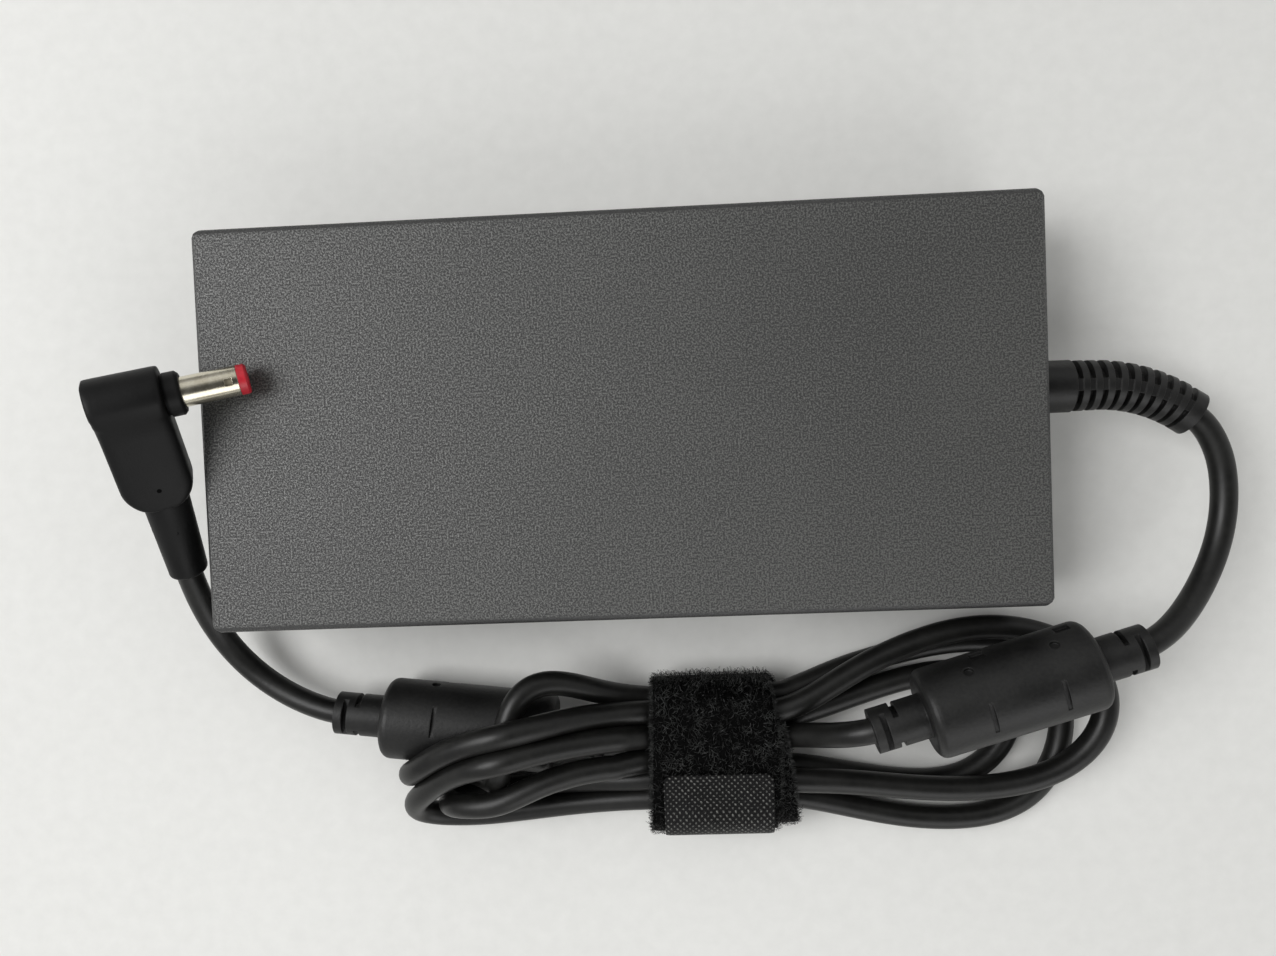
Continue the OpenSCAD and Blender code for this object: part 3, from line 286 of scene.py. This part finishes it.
settle_rounds, cord_facets = 260, 20
cord_line = smoothed(laid(cord_route, [near_neck, far_neck], sleeve_bars, settle_rounds), 3)*mm
output_cord = made_piece(
    "output_cord", jacket_round(cord_line, cord_thickness/2*mm, cord_facets),
    skin_over(len(cord_line), cord_facets))
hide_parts("cord_lead_out", "cord_lead_in", "cord_hank", "cord_plug_lead")


def fed(finish, socket, value):
    """Feeds a node's socket with a number, a colour, a direction or another node's output."""
    if isinstance(value, bpy.types.NodeSocket):
        finish.node_tree.links.new(value, socket)
    else:
        socket.default_value = value


def ranged(finish, value, a, b, low, high):
    """A value that runs from a to b, spread over low to high."""
    spread = finish.node_tree.nodes.new("ShaderNodeMapRange")
    for key, number in zip(("Value", "From Min", "From Max", "To Min", "To Max"), (value, a, b, low, high)):
        fed(finish, spread.inputs[key], number)
    return spread.outputs["Result"]


def worked_out(finish, operation, *values):
    """The outcome of one sum on numbers and other nodes' values."""
    step = finish.node_tree.nodes.new("ShaderNodeMath")
    step.operation = operation
    for socket, value in zip(step.inputs, values):
        fed(finish, socket, value)
    return step.outputs["Value"]


def along_way(finish, direction, way):
    """How far a direction runs along a way, or along another direction."""
    dot = finish.node_tree.nodes.new("ShaderNodeVectorMath")
    dot.operation = "DOT_PRODUCT"
    fed(finish, dot.inputs[0], direction)
    fed(finish, dot.inputs[1], way)
    return dot.outputs["Value"]


def mixed(finish, share, a, b):
    """One colour passing into another as the share goes from 0 to 1."""
    mix = finish.node_tree.nodes.new("ShaderNodeMix")
    mix.data_type = "RGBA"
    fed(finish, mix.inputs["Factor"], share)
    for key, colour in (("A", a), ("B", b)):
        fed(finish, mix.inputs[key], (*colour, 1) if isinstance(colour, tuple) else colour)
    return mix.outputs["Result"]


def speckled(finish, name, scale, detail):
    """A soft random pattern, fixed to the piece."""
    speckle = finish.node_tree.nodes.new("ShaderNodeTexNoise")
    speckle.name = name
    speckle.inputs["Scale"].default_value = scale
    speckle.inputs["Detail"].default_value = detail
    speckle.inputs["Roughness"].default_value = 0.55
    fed(finish, speckle.inputs["Vector"], finish.node_tree.nodes["place"].outputs["Object"])
    return speckle.outputs["Fac"]


def finish_of(
    name, colour, pale, roughness, spread, grain, depth, cloud=60, metal=0.0, edge=0.0, wear=0.0, shine=0.5,
    speck=0.6, blend=0.22,
):
    """A finish whose colour, gloss and relief vary with a fine grain and a broad cloud. Where edge is given,
    its corners read as rounded by that much, and where wear is given too, worn paler."""
    made = bpy.data.materials.new(name)
    made.use_nodes = True
    nodes = made.node_tree.nodes
    nodes.new("ShaderNodeTexCoord").name = "place"
    skin = nodes["Principled BSDF"]
    skin.inputs["Metallic"].default_value = metal
    skin.inputs["Specular IOR Level"].default_value = shine
    fine_grain, broad_cloud = speckled(made, "fine_grain", grain, 3), speckled(made, "broad_cloud", cloud, 4)
    thin, thick, half_way = 0.3, 0.7, 0.52
    clouded = ranged(made, broad_cloud, thin, thick, 0, 1 - speck)
    tint = worked_out(made, "MULTIPLY_ADD", fine_grain, speck, clouded)
    look = mixed(made, ranged(made, tint, half_way - blend, half_way + blend, 0, 1), colour, pale)
    gloss = ranged(made, broad_cloud, thin, thick, roughness - spread, roughness + spread)
    relief = nodes.new("ShaderNodeBump")
    relief.inputs["Strength"].default_value = 1
    relief.inputs["Distance"].default_value = depth
    fed(made, relief.inputs["Height"], fine_grain)
    if edge:
        rounded = nodes.new("ShaderNodeBevel")
        rounded.samples = 4
        rounded.inputs["Radius"].default_value = edge
        fed(made, relief.inputs["Normal"], rounded.outputs["Normal"])
        if wear:
            flat = nodes.new("ShaderNodeNewGeometry").outputs["Normal"]
            still_flat = along_way(made, rounded.outputs["Normal"], flat)
            rubbed = tuple(min(1, 2.6*c + 0.02) for c in pale)
            look = mixed(made, ranged(made, still_flat, 0.995, 0.86, 0, wear), look, rubbed)
    fed(made, skin.inputs["Base Color"], look)
    fed(made, skin.inputs["Roughness"], gloss)
    fed(made, skin.inputs["Normal"], relief.outputs["Normal"])
    return made


def coated(finish, *names):
    """Gives pieces a finish, in every one of their slots."""
    for name in names:
        piece = bpy.data.objects[name]
        if not piece.material_slots:
            piece.data.materials.append(finish)
        for slot in piece.material_slots:
            slot.material = finish


soft_pvc = finish_of(
    "soft_pvc", (0.004, 0.004, 0.0038), (0.011, 0.011, 0.010), 0.40, 0.05, 900, 0.00002, cloud=120,
    shine=0.36)
coated(soft_pvc, "output_cord")

# --- Ferrite sleeves --------------------------------------------------------
# A soft PVC sleeve is moulded over the cord and a ferrite tube, near each end of
# the cord. Its ringed necks give with the cord, and the mould's pins leave the
# slots and dimples in it.

sleeve_pvc = finish_of(
    "sleeve_pvc", (0.004, 0.004, 0.004), (0.013, 0.013, 0.0125), 0.47, 0.07, 1500, 0.00004, cloud=90,
    edge=0.00035, wear=0.2, shine=0.36)
ferrite_ceramic = finish_of(
    "ferrite_ceramic", (0.09, 0.09, 0.095), (0.16, 0.16, 0.165), 0.6, 0.1, 2500, 0.00002, cloud=200)
coated(sleeve_pvc, "near_sleeve", "far_sleeve")
coated(ferrite_ceramic, "near_ferrite", "far_ferrite")

# --- Strain relief ----------------------------------------------------------
# A tapered PVC boot, moulded on the cord and clamped between the two shells, with
# cross slots in two rows so that it bends in an even curve.

relief_pvc = finish_of(
    "relief_pvc", (0.003, 0.003, 0.003), (0.010, 0.010, 0.0095), 0.44, 0.07, 1500, 0.00004, cloud=120,
    edge=0.00025, wear=0.3, shine=0.4)
coated(relief_pvc, "strain_relief")

# --- Power plug -------------------------------------------------------------
# A soft PVC body, moulded over the end of the cord at a right angle to the barrel,
# with a round head over the barrel and a flat leg down to its own strain relief.

plug_left, plug_right = -5.7, 6.6
head_round, head_edge, head_edge_depth = 5.5, 0.5, 0.8
shoulder, shoulder_half, taper_length = head_round*0.17, head_round*0.985, 7
leg_length, leg_round, leg_corner, leg_edge = 20.3, 4.2, 5.0, 0.9
plug_stand = (
    Matrix.Translation((-85.591, 5.29, 34.964)) @ Matrix.Rotation(math.radians(12.5), 4, "Z")
    @ Matrix.Rotation(math.radians(20), 4, "Y") @ Matrix.Rotation(math.radians(31), 4, "X")
)


def stood(x, y, z):
    """A point of the plug, from its own upright place to where it stands over the housing."""
    return plug_stand @ Vector((x, y, z))*mm


def half_thickness(down):
    """Half the plug's thickness, so far down from the barrel's middle to the leg's end."""
    if down < -shoulder:
        return math.sqrt(max(0, head_round**2 - down**2))
    ease = min(1, (down + shoulder)/taper_length)
    return shoulder_half + (leg_round - shoulder_half)*ease*ease*(3 - 2*ease)


def plug_slices():
    """How far down the plug's slices lie, closer together where the head and the leg's end are round."""
    head = head_round*np.sin(np.radians([*np.linspace(-90, -10, 17), 0]))
    leg = np.linspace(0.8, leg_length - leg_corner, 20)
    corner = leg_length - leg_corner*(1 - np.sin(np.radians(np.linspace(5, 90, 16))))
    return np.concatenate([head, leg, corner])


def plug_moulding(around):
    """The plug's body as rounded slices from its head to the end of its leg."""
    points = []
    for down in plug_slices():
        half_thick = max(half_thickness(down), 0.25)
        half_wide, middle = (plug_right - plug_left)/2, (plug_right + plug_left)/2
        past = down - (leg_length - leg_corner)
        if past > 0:
            half_wide -= leg_corner - math.sqrt(max(0, leg_corner**2 - past**2))
            ending = max(0, (past - leg_corner + leg_edge)/leg_edge)
            half_thick -= leg_edge*(1 - math.sqrt(max(0, 1 - ending**2)))
        head = min(1, max(0, (head_round + down)/head_edge_depth))
        half_wide -= head_edge*(1 - math.sqrt(head*(2 - head)))
        wide_square = 7 if down > 2 else 14
        thick_square = 5 if down > 0 else 9
        for k in range(around):
            a = 2*math.pi*k/around
            c, s = math.cos(a), math.sin(a)
            x = half_wide*math.copysign(abs(c)**(2/wide_square), c)
            z = half_thick*math.copysign(abs(s)**(2/thick_square), s)
            points.append(stood(middle + x, -down, z))
    return made_piece("plug_moulding", points, skin_over(len(points)//around, around))


def plug_boot(around):
    """The plug's own strain relief: a plain taper round the cord, with a round end. Each of its rings has
    its middle across the leg, how far down it lies, and its radius."""
    rings = [(0.75, 19.0, 4.0), (0.72, 20.0, 4.1), (0.14, 35.2, 3.56)]
    rings += [(0.1, 35.4 + 0.8*math.sin(a), 2.76 + 0.8*math.cos(a)) for a in np.linspace(0.2, math.pi/2, 6)]
    rings.append((0.1, 35.9, 2.45))
    points = []
    for middle, down, radius in rings:
        for k in range(around):
            a = 2*math.pi*k/around
            points.append(stood(middle + radius*math.cos(a), -down, radius*math.sin(a)))
    return made_piece("plug_boot", points, skin_over(len(rings), around, closed=("start",)))


def pinhole(name, place, wide, around):
    """A small round hole that a core pin left in the moulding, drawn as a flat disc with a faint lip and
    painted dark as the shade inside it. Each of its rings has a share of the hole's radius and a height
    above the moulding."""
    rings = [(1.3, -0.05), (1.12, 0.03), (0.95, 0.03), (0.85, 0.012), (0.4, 0.012), (0, 0.012)]
    x, y, z = place
    points = []
    for share, height in rings:
        radius = wide/2*share
        for k in range(around):
            a = 2*math.pi*k/around
            points.append(stood(x + radius*math.cos(a), y + radius*math.sin(a), z + height))
    return made_piece(name, points, skin_over(len(rings), around, closed=()))


plug = plug_moulding(48)
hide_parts("plug_body")
boot = plug_boot(40)
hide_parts("plug_relief")
leg_pinhole = pinhole("leg_pinhole", (0.85, -15.9, 4.2), 0.7, 18)
boot_pinhole = pinhole("boot_pinhole", (0.9, -25.4, 3.84), 0.66, 18)
plug_pvc = finish_of(
    "plug_pvc", (0.0025, 0.0025, 0.0026), (0.005, 0.005, 0.0052), 0.5, 0.05, 1800, 0.00003, cloud=140,
    edge=0.0005, wear=0.08, shine=0.22)
pinhole_shade = finish_of(
    "pinhole_shade", (0.0006, 0.0006, 0.0006), (0.0012, 0.0012, 0.0012), 0.7, 0.05, 1800, 0.00001,
    shine=0.05)
plug_nickel = finish_of(
    "plug_nickel", (0.60, 0.55, 0.43), (0.78, 0.74, 0.62), 0.2, 0.06, 3000, 0.000004, cloud=300, metal=1.0,
    edge=0.0002)
red_insulator = finish_of(
    "red_insulator", (0.40, 0.010, 0.022), (0.55, 0.02, 0.035), 0.36, 0.06, 2500, 0.00001, cloud=300,
    edge=0.0002)


def laid_over(finish, share, colour):
    """Lays a second colour over a finish, as much of it as the share says."""
    base = finish.node_tree.nodes["Principled BSDF"].inputs["Base Color"]
    fed(finish, base, mixed(finish, share, base.links[0].from_socket, colour))


# The insulator is moulded in two colours: red at the barrel's tip, pale inside it.
red_from = 18.8
barrel_way = plug_stand.to_3x3() @ Vector((1, 0, 0))
place_in_part = red_insulator.node_tree.nodes["place"].outputs["Object"]
inside_barrel = worked_out(
    red_insulator, "LESS_THAN", along_way(red_insulator, place_in_part, barrel_way),
    (barrel_way.dot(plug_stand.translation) + red_from)*mm)
laid_over(red_insulator, inside_barrel, (0.22, 0.20, 0.15))
coated(plug_pvc, "plug_collar", "plug_moulding", "plug_boot")
coated(pinhole_shade, "leg_pinhole", "boot_pinhole")
coated(plug_nickel, "plug_barrel", "plug_contact")
coated(red_insulator, "plug_insulator")

# --- Cord tie ---------------------------------------------------------------
# One hook-and-loop strap, wound once and two thirds round the hank: the first turn
# lies askew under the second, the loop pile faces out, and the hook end closes it
# in front.

wrap_length = 73.2
strap_body, strap_rim = 1.0, 0.72
waist_front, waist_back, waist_low, waist_high, waist_corner = -76.8, -58.0, 6.8, 7.0, 4.4
flat_run, upright_run = waist_back - waist_front, waist_high - waist_low
corner_run = (wrap_length - 2*flat_run - 2*upright_run)/4
waist_corners = (
    (waist_front, waist_high, flat_run), (waist_front, waist_low, upright_run),
    (waist_back, waist_low, flat_run), (waist_back, waist_high, upright_run),
)


def round_waist(along, out):
    """The place in Y and Z, and the way outwards, so far round the waist's outline and outside it. Each of
    its four sides is a straight run and then a quarter turn about that corner's middle."""
    along = along % wrap_length
    side = 0
    while side < 3 and along > waist_corners[side][2] + corner_run:
        along -= waist_corners[side][2] + corner_run
        side += 1
    y, z, straight = waist_corners[side]
    short_of_corner = max(0, straight - along)
    angle = math.radians(90*(side + 1 + max(0, along - straight)/corner_run))
    outwards = (math.cos(angle), math.sin(angle))
    y += (waist_corner + out)*outwards[0] + short_of_corner*outwards[1]
    z += (waist_corner + out)*outwards[1] - short_of_corner*outwards[0]
    return y, z, outwards


left_edge = ((2, 4.4), (22, 7.0), (44, 7.0), (50, 6.6), (64.2, 4.0), (78.2, 3.7), (95.2, 3.0), (123.2, 3.2))
right_edge = (
    (2, 28.6), (10, 30.2), (22, 31.7), (50, 31.2), (64.2, 26.3), (73.2, 27.4), (79.2, 28.2), (87.2, 28.4),
    (95.2, 27.6), (123.2, 27.4),
)
first_turn_lift, second_turn_climb, climb_run = 0.68, 1.08, 10


def strap_edges(along):
    """Where the strap's two edges lie, so far along it: the first turn is askew under the second."""
    return tuple(float(np.interp(along, *zip(*edge))) for edge in (left_edge, right_edge))


def strap_lift(along):
    """How far outside the waist the strap's middle runs, so far along it."""
    climb = min(1, max(0, (along - wrap_length + climb_run)/climb_run))
    return first_turn_lift + second_turn_climb*(climb*climb*(3 - 2*climb))


def band(name, alongs, edges, lift, thickness, across, ragged=0.0):
    """A strap with two faces and thinner rims, as a ring of points round it at each place along it."""
    steps = np.linspace(0, 1, across + 1)
    points, maps = [], []
    for along in alongs:
        low, high = edges(along)
        for face, in_turn in ((0.5, steps[::-1]), (-0.5, steps)):
            for t in in_turn:
                rim = t in (0, 1)
                fray = ragged*rim*math.sin(along*5.1 + 9*t)*math.sin(along*2.3)
                y, z, _ = round_waist(along, lift(along) + face*thickness*(strap_rim if rim else 1))
                points.append(((low + (high - low)*t + fray)*mm, y*mm, z*mm))
                maps.append((low + (high - low)*t, along))
    piece = made_piece(name, points, skin_over(len(alongs), 2*len(steps)))
    cloth = piece.data.uv_layers.new(name="cloth")
    for corner in piece.data.loops:
        cloth.data[corner.index].uv = maps[corner.vertex_index]
    return piece


strap_start, strap_end = 2.0, wrap_length + 50
strap = band(
    "strap", np.arange(strap_start, strap_end, 0.7), strap_edges, strap_lift, strap_body, 34,
    ragged=0.12)
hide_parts("tie_strap")


def loops_of_pile(name, seed, count, span, rise, thickness, place_of):
    """Many thin curled fibres, each a narrow ribbon that stands up and lies down again."""
    rng = np.random.default_rng(seed)
    steps = np.linspace(0, 1, 6)
    points, faces = [], []
    for _ in range(count):
        foot, out, way = place_of(rng)
        if foot is None:
            continue
        foot, out, way = (np.asarray(v, float) for v in (foot, out, way))
        side = np.cross(out, way)
        reach, lift = rng.uniform(*span), rng.uniform(*rise)
        curl = rng.normal(0, 0.35)
        ribbon = []
        for t in steps:
            stands = lift*math.sin(math.pi*(0.12 + 0.8*t))
            ribbon.append(foot + way*reach*t + out*stands + side*curl*reach*t*(1 - t)*2)
        base = len(points)
        wide = (side*0.8 + out*rng.uniform(-0.6, 0.6))*thickness
        for spot in ribbon:
            points += [(spot - wide)*mm, (spot + wide)*mm]
        faces += [(a, a + 1, a + 3, a + 2) for a in range(base, len(points) - 2, 2)]
    return made_piece(name, points, faces)


# The pile shows from the strap's back, over its top and down its front, to near the table.
pile_from, pile_to, askew_from, pile_above = -24, 44, 3, 0.9
foot_depth = strap_body/2 - 0.06


def lying(turn, outwards):
    """A way along the strap's face, turned so far from straight across it."""
    return np.array([math.cos(turn), -outwards[1]*math.sin(turn), outwards[0]*math.sin(turn)])


def on_the_face(rng):
    """A foot on the outer turn's face, or on the strip of the first turn that shows beside it."""
    outer = rng.random() < 0.9
    along = rng.uniform(pile_from, pile_to) if outer else rng.uniform(askew_from, pile_to)
    run = wrap_length + along if outer else along
    low, high = strap_edges(run)
    if not outer:
        low = strap_edges(wrap_length + along)[1] - 0.3
    across = rng.uniform(low, high)
    y, z, outwards = round_waist(along, strap_lift(run) + foot_depth)
    if z < pile_above:
        return None, None, None
    return (across, y, z), (0, *outwards), lying(rng.uniform(0, 2*math.pi), outwards)


def on_the_edge(rng):
    """A foot on one of the two long edges, with the fibre pointing away from the strap."""
    right = rng.random() < 0.5
    along = rng.uniform(pile_from, pile_to)
    first = right and along > 2 and rng.random() < 0.5
    run = along if first else wrap_length + along
    low, high = strap_edges(run)
    y, z, outwards = round_waist(along, strap_lift(run) + rng.uniform(-0.5, 0.5)*strap_body)
    if z < 1:
        return None, None, None
    lean = rng.normal(0, 0.6)
    way = np.array([1.0 if right else -1.0, -outwards[1]*lean, outwards[0]*lean])
    return (high - 0.2 if right else low + 0.2, y, z), (0, *outwards), way/np.linalg.norm(way)


def on_the_back(rng):
    """A foot at the top of the back wall, where the bend makes the loops stand up."""
    along = rng.uniform(-10, -1)
    low, high = strap_edges(wrap_length + along)
    y, z, outwards = round_waist(along, strap_lift(wrap_length + along) + foot_depth)
    way = lying(rng.uniform(0, 2*math.pi), outwards)
    return (rng.uniform(low, high), y, z), (0, *outwards), way


pile = loops_of_pile("strap_pile", 5, 5600, (0.6, 1.8), (0.2, 0.75), 0.05, on_the_face)
strays = loops_of_pile("strap_strays", 11, 650, (0.6, 2.0), (0.6, 1.7), 0.04, on_the_back)
hairs = loops_of_pile("strap_hairs", 8, 3800, (0.3, 1.35), (-0.3, 0.45), 0.045, on_the_edge)
pile_nylon = finish_of(
    "pile_nylon", (0.0004, 0.0004, 0.0004), (0.0016, 0.0016, 0.0016), 0.6, 0.1, 1100, 0.0001, cloud=700,
    shine=0.04)
loop_nylon = finish_of(
    "loop_nylon", (0.0004, 0.0004, 0.0004), (0.026, 0.027, 0.026), 0.36, 0.05, 900, 0.00001, cloud=300,
    shine=0.2, blend=0.1)
coated(pile_nylon, "strap")
coated(loop_nylon, "strap_pile", "strap_strays", "strap_hairs")

# The hook end: a stiffer woven tape with round corners, pressed on the pile.
tab_left, tab_right, tab_start, tab_end, tab_corner = 5.4, 26.9, 12.2, 30.5, 1.6
tab_lift, tab_thickness = 2.78, 0.75


def tab_edges(along):
    """The tab's edges, drawn in at its round corners."""
    near = min(along - tab_start, tab_end - along)
    drawn = tab_corner - math.sqrt(max(0, tab_corner**2 - max(0, tab_corner - near)**2))
    return tab_left + drawn, tab_right - drawn


in_the_corner = np.array([0.02, 0.1, 0.25, 0.5, 0.8, 1.2])
tab_alongs = np.concatenate([
    tab_start + in_the_corner, np.arange(tab_start + 1.8, tab_end - 1.8, 0.6), tab_end - in_the_corner[::-1],
])
hook_tab = band("hook_tab", tab_alongs, tab_edges, lambda along: tab_lift, tab_thickness, 26)
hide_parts("tie_tab")


def woven_hook_tape():
    """Black nylon tape with rows of small hooks, in uneven staggered rows over a fine weave."""
    made = finish_of(
        "woven_hook_tape", (0.003, 0.003, 0.0031), (0.009, 0.009, 0.0095), 0.5, 0.08, 2600, 0.00004,
        shine=0.12)
    nodes = made.node_tree.nodes
    normal = nodes["Principled BSDF"].inputs["Normal"]
    cloth = nodes.new("ShaderNodeUVMap")
    cloth.uv_map = "cloth"
    split = nodes.new("ShaderNodeSeparateXYZ")
    fed(made, split.inputs[0], cloth.outputs["UV"])
    jitter = nodes.new("ShaderNodeTexNoise")
    jitter.inputs["Scale"].default_value = 1.7
    fed(made, jitter.inputs["Vector"], cloth.outputs["UV"])
    uneven = jitter.outputs["Fac"]
    # Each wave's radians to the millimetre: a hook at every crest, a thread at every finer one.
    hook_wave, thread_wave = 5.2, 14
    shift = worked_out(made, "MULTIPLY", uneven, 3.4)
    waves, threads = [], []
    for way in ("X", "Y"):
        across = split.outputs[way]
        hooked = worked_out(made, "ADD", worked_out(made, "MULTIPLY", across, hook_wave), shift)
        waves.append(worked_out(made, "SINE", hooked))
        threads.append(worked_out(made, "SINE", worked_out(made, "MULTIPLY", across, thread_wave)))
    hooks = worked_out(made, "MAXIMUM", worked_out(made, "MULTIPLY", *waves), 0)
    weave = worked_out(made, "MULTIPLY", worked_out(made, "MULTIPLY", *threads), 0.25)
    relief = nodes.new("ShaderNodeBump")
    relief.inputs["Distance"].default_value = 0.00022
    fed(made, relief.inputs["Height"], worked_out(made, "ADD", hooks, weave))
    fed(made, relief.inputs["Normal"], normal.links[0].from_socket)
    fed(made, normal, relief.outputs["Normal"])
    glints = worked_out(made, "MULTIPLY", worked_out(made, "POWER", hooks, 2.2), uneven)
    laid_over(made, glints, (0.34, 0.34, 0.32))
    return made


coated(woven_hook_tape(), "hook_tab")

# --- Circuit board and what is soldered to it -------------------------------
# A glass-epoxy board with the converter's parts, in the order that the power
# takes from the mains inlet to the output cord.

solder_mask = finish_of(
    "solder_mask", (0.010, 0.070, 0.028), (0.022, 0.115, 0.05), 0.32, 0.06, 1800, 0.00001, cloud=180)
moulded_epoxy = finish_of(
    "moulded_epoxy", (0.014, 0.014, 0.015), (0.030, 0.030, 0.031), 0.5, 0.08, 2600, 0.00002, cloud=300,
    edge=0.0002)
enamelled_copper = finish_of(
    "enamelled_copper", (0.42, 0.15, 0.05), (0.62, 0.28, 0.10), 0.3, 0.07, 2200, 0.00006, cloud=500,
    metal=0.8)
winding_tape = finish_of(
    "winding_tape", (0.62, 0.44, 0.05), (0.80, 0.60, 0.10), 0.36, 0.06, 1600, 0.00001, cloud=200)
shrink_sleeve = finish_of(
    "shrink_sleeve", (0.012, 0.016, 0.034), (0.024, 0.032, 0.060), 0.3, 0.06, 1600, 0.00001, cloud=200,
    edge=0.0003)
film_box = finish_of(
    "film_box", (0.60, 0.40, 0.04), (0.76, 0.56, 0.09), 0.34, 0.05, 2000, 0.00001, cloud=200, edge=0.0003)
blue_dip = finish_of(
    "blue_dip", (0.015, 0.07, 0.26), (0.03, 0.12, 0.38), 0.3, 0.06, 1200, 0.00004, cloud=300)
gap_filler = finish_of(
    "gap_filler", (0.24, 0.32, 0.46), (0.34, 0.43, 0.58), 0.7, 0.08, 1400, 0.00004, cloud=200)
board_finishes = {
    solder_mask: ("circuit_board", "control_board"),
    moulded_epoxy: ("fuse", "bridge_rectifier", "power_transistors", "output_rectifiers", "optocouplers"),
    enamelled_copper: ("choke_windings", "inductor_winding", "output_choke"),
    winding_tape: ("transformer_winding",),
    ferrite_ceramic: ("choke_core", "inductor_core", "transformer_core"),
    shrink_sleeve: ("bulk_capacitor", "output_capacitors"),
    film_box: ("filter_capacitor",),
    blue_dip: ("surge_suppressor", "safety_capacitors"),
    gap_filler: ("thermal_pad",),
}
for finish, names in board_finishes.items():
    coated(finish, *names)

# --- Heat spreaders ---------------------------------------------------------
# Two aluminium sinks stand on the board, and thin sheets of it line both shells
# and carry the heat to them. A fibre sheet keeps the lower one off the board.

mill_aluminium = finish_of(
    "mill_aluminium", (0.60, 0.61, 0.62), (0.74, 0.75, 0.77), 0.34, 0.08, 900, 0.00001, cloud=60, metal=1.0,
    edge=0.0002)
fibre_sheet = finish_of(
    "fibre_sheet", (0.55, 0.50, 0.36), (0.70, 0.66, 0.50), 0.7, 0.08, 1400, 0.00003, cloud=120)
coated(
    mill_aluminium, "upper_heat_spreader", "lower_heat_spreader", "primary_heat_sink", "secondary_heat_sink")
coated(fibre_sheet, "insulation_sheet")

# --- Mains inlet ------------------------------------------------------------
# A moulded inlet body with three plated pins, clamped in the end away from the
# cord, and the insulated leads to the board and from the board to the cord.

inlet_plastic = finish_of(
    "inlet_plastic", (0.012, 0.012, 0.012), (0.024, 0.024, 0.024), 0.38, 0.05, 2200, 0.00002, cloud=150,
    edge=0.0003, wear=0.15)
pin_plating = finish_of(
    "pin_plating", (0.68, 0.66, 0.60), (0.84, 0.82, 0.78), 0.24, 0.07, 3000, 0.000004, cloud=300, metal=1.0,
    edge=0.0003)
lead_insulation = finish_of(
    "lead_insulation", (0.16, 0.075, 0.035), (0.26, 0.13, 0.06), 0.42, 0.06, 2500, 0.00001, cloud=400)
coated(inlet_plastic, "inlet_body")
coated(pin_plating, "line_pin", "neutral_pin", "earth_pin")
coated(lead_insulation, "inlet_leads", "output_leads")

# --- Housing ----------------------------------------------------------------
# Two shells of black polycarbonate with a fine sandy grain from the mould, welded
# on a tongue and groove at mid height. Their long edges are smooth bevels.

# The fine grain's pale specks in the colour are painted glints of the sandy grain, laid over its real bumps.
grain_plastic_painted_light = finish_of(
    "grain_plastic_painted_light", (0.0005, 0.0005, 0.0005), (0.072, 0.073, 0.068), 0.45, 0.02, 3000, 0.00016, cloud=14,
    edge=0.0003, wear=0.2, shine=0.75, speck=0.96, blend=0.06)
grain_nodes = grain_plastic_painted_light.node_tree.nodes
grain_skin = grain_nodes["Principled BSDF"]
grain_skin.inputs["IOR"].default_value = 1.6
glint = ranged(grain_plastic_painted_light, grain_nodes["fine_grain"].outputs["Fac"], 0.40, 0.60, 0.70, 0.34)
fed(grain_plastic_painted_light, grain_skin.inputs["Roughness"], glint)
# The faces that tilt away from level, the bevels and the walls, get a darker colour: painted shade.
facing = grain_nodes.new("ShaderNodeSeparateXYZ")
fed(grain_plastic_painted_light, facing.inputs[0], grain_nodes["place"].outputs["Normal"])
level = worked_out(grain_plastic_painted_light, "ABSOLUTE", facing.outputs["Z"])
bevel_painted_shade = ranged(grain_plastic_painted_light, level, 0.995, 0.97, 0, 1)
laid_over(grain_plastic_painted_light, bevel_painted_shade, (0.009, 0.009, 0.009))
coated(grain_plastic_painted_light, "top_shell", "bottom_shell")

# --- Table and lamps --------------------------------------------------------
# A pale matt table, a softbox high on the left, a larger and weaker one in front,
# and an even room that is darker straight above and near the floor.

table_half, table_drop = 3, -5e-5
table = bpy.data.objects.new("table", bpy.data.meshes.new("table"))
table_corners = [(x*table_half, y*table_half, table_drop) for x, y in ((-1, -1), (1, -1), (1, 1), (-1, 1))]
table.data.from_pydata(table_corners, [], [(0, 1, 2, 3)])
scene.collection.objects.link(table)
pale_card = finish_of(
    "pale_card", (0.70, 0.70, 0.68), (0.76, 0.76, 0.74), 0.85, 0.05, 300, 0.00001, cloud=4)
coated(pale_card, "table")
softboxes = (
    ("left_softbox", (-0.56, 0.08, 0.72), 0.5, 5.4), ("front_softbox", (0.3, -0.7, 0.55), 0.6, 1.8),
)
for name, place, size, power in softboxes:
    lamp = bpy.data.lights.new(name, "AREA")
    lamp.size = size
    lamp.energy = power
    softbox = bpy.data.objects.new(name, lamp)
    softbox.location = place
    softbox.rotation_euler = (-Vector(place)).to_track_quat("-Z", "Y").to_euler()
    scene.collection.objects.link(softbox)
room = bpy.data.worlds.new("room")
room.use_nodes = True
room_nodes = room.node_tree.nodes
height = along_way(room, room_nodes.new("ShaderNodeTexCoord").outputs["Generated"], (0.32, -0.14, 0.937))
walls = room_nodes.new("ShaderNodeValToRGB")
fed(room, walls.inputs["Fac"], height)
floor_end, ceiling_end = walls.color_ramp.elements
floor_end.position, floor_end.color = 0.1, (0.30, 0.30, 0.30, 1)
ceiling_end.position, ceiling_end.color = 0.96, (0.07, 0.07, 0.07, 1)
for place in (0.42, 0.72):
    walls.color_ramp.elements.new(place).color = (0.76, 0.76, 0.75, 1)
fed(room, room_nodes["Background"].inputs["Color"], walls.outputs["Color"])
room_nodes["Background"].inputs["Strength"].default_value = 0.92
scene.world = room
scene.view_settings.view_transform = "Standard"
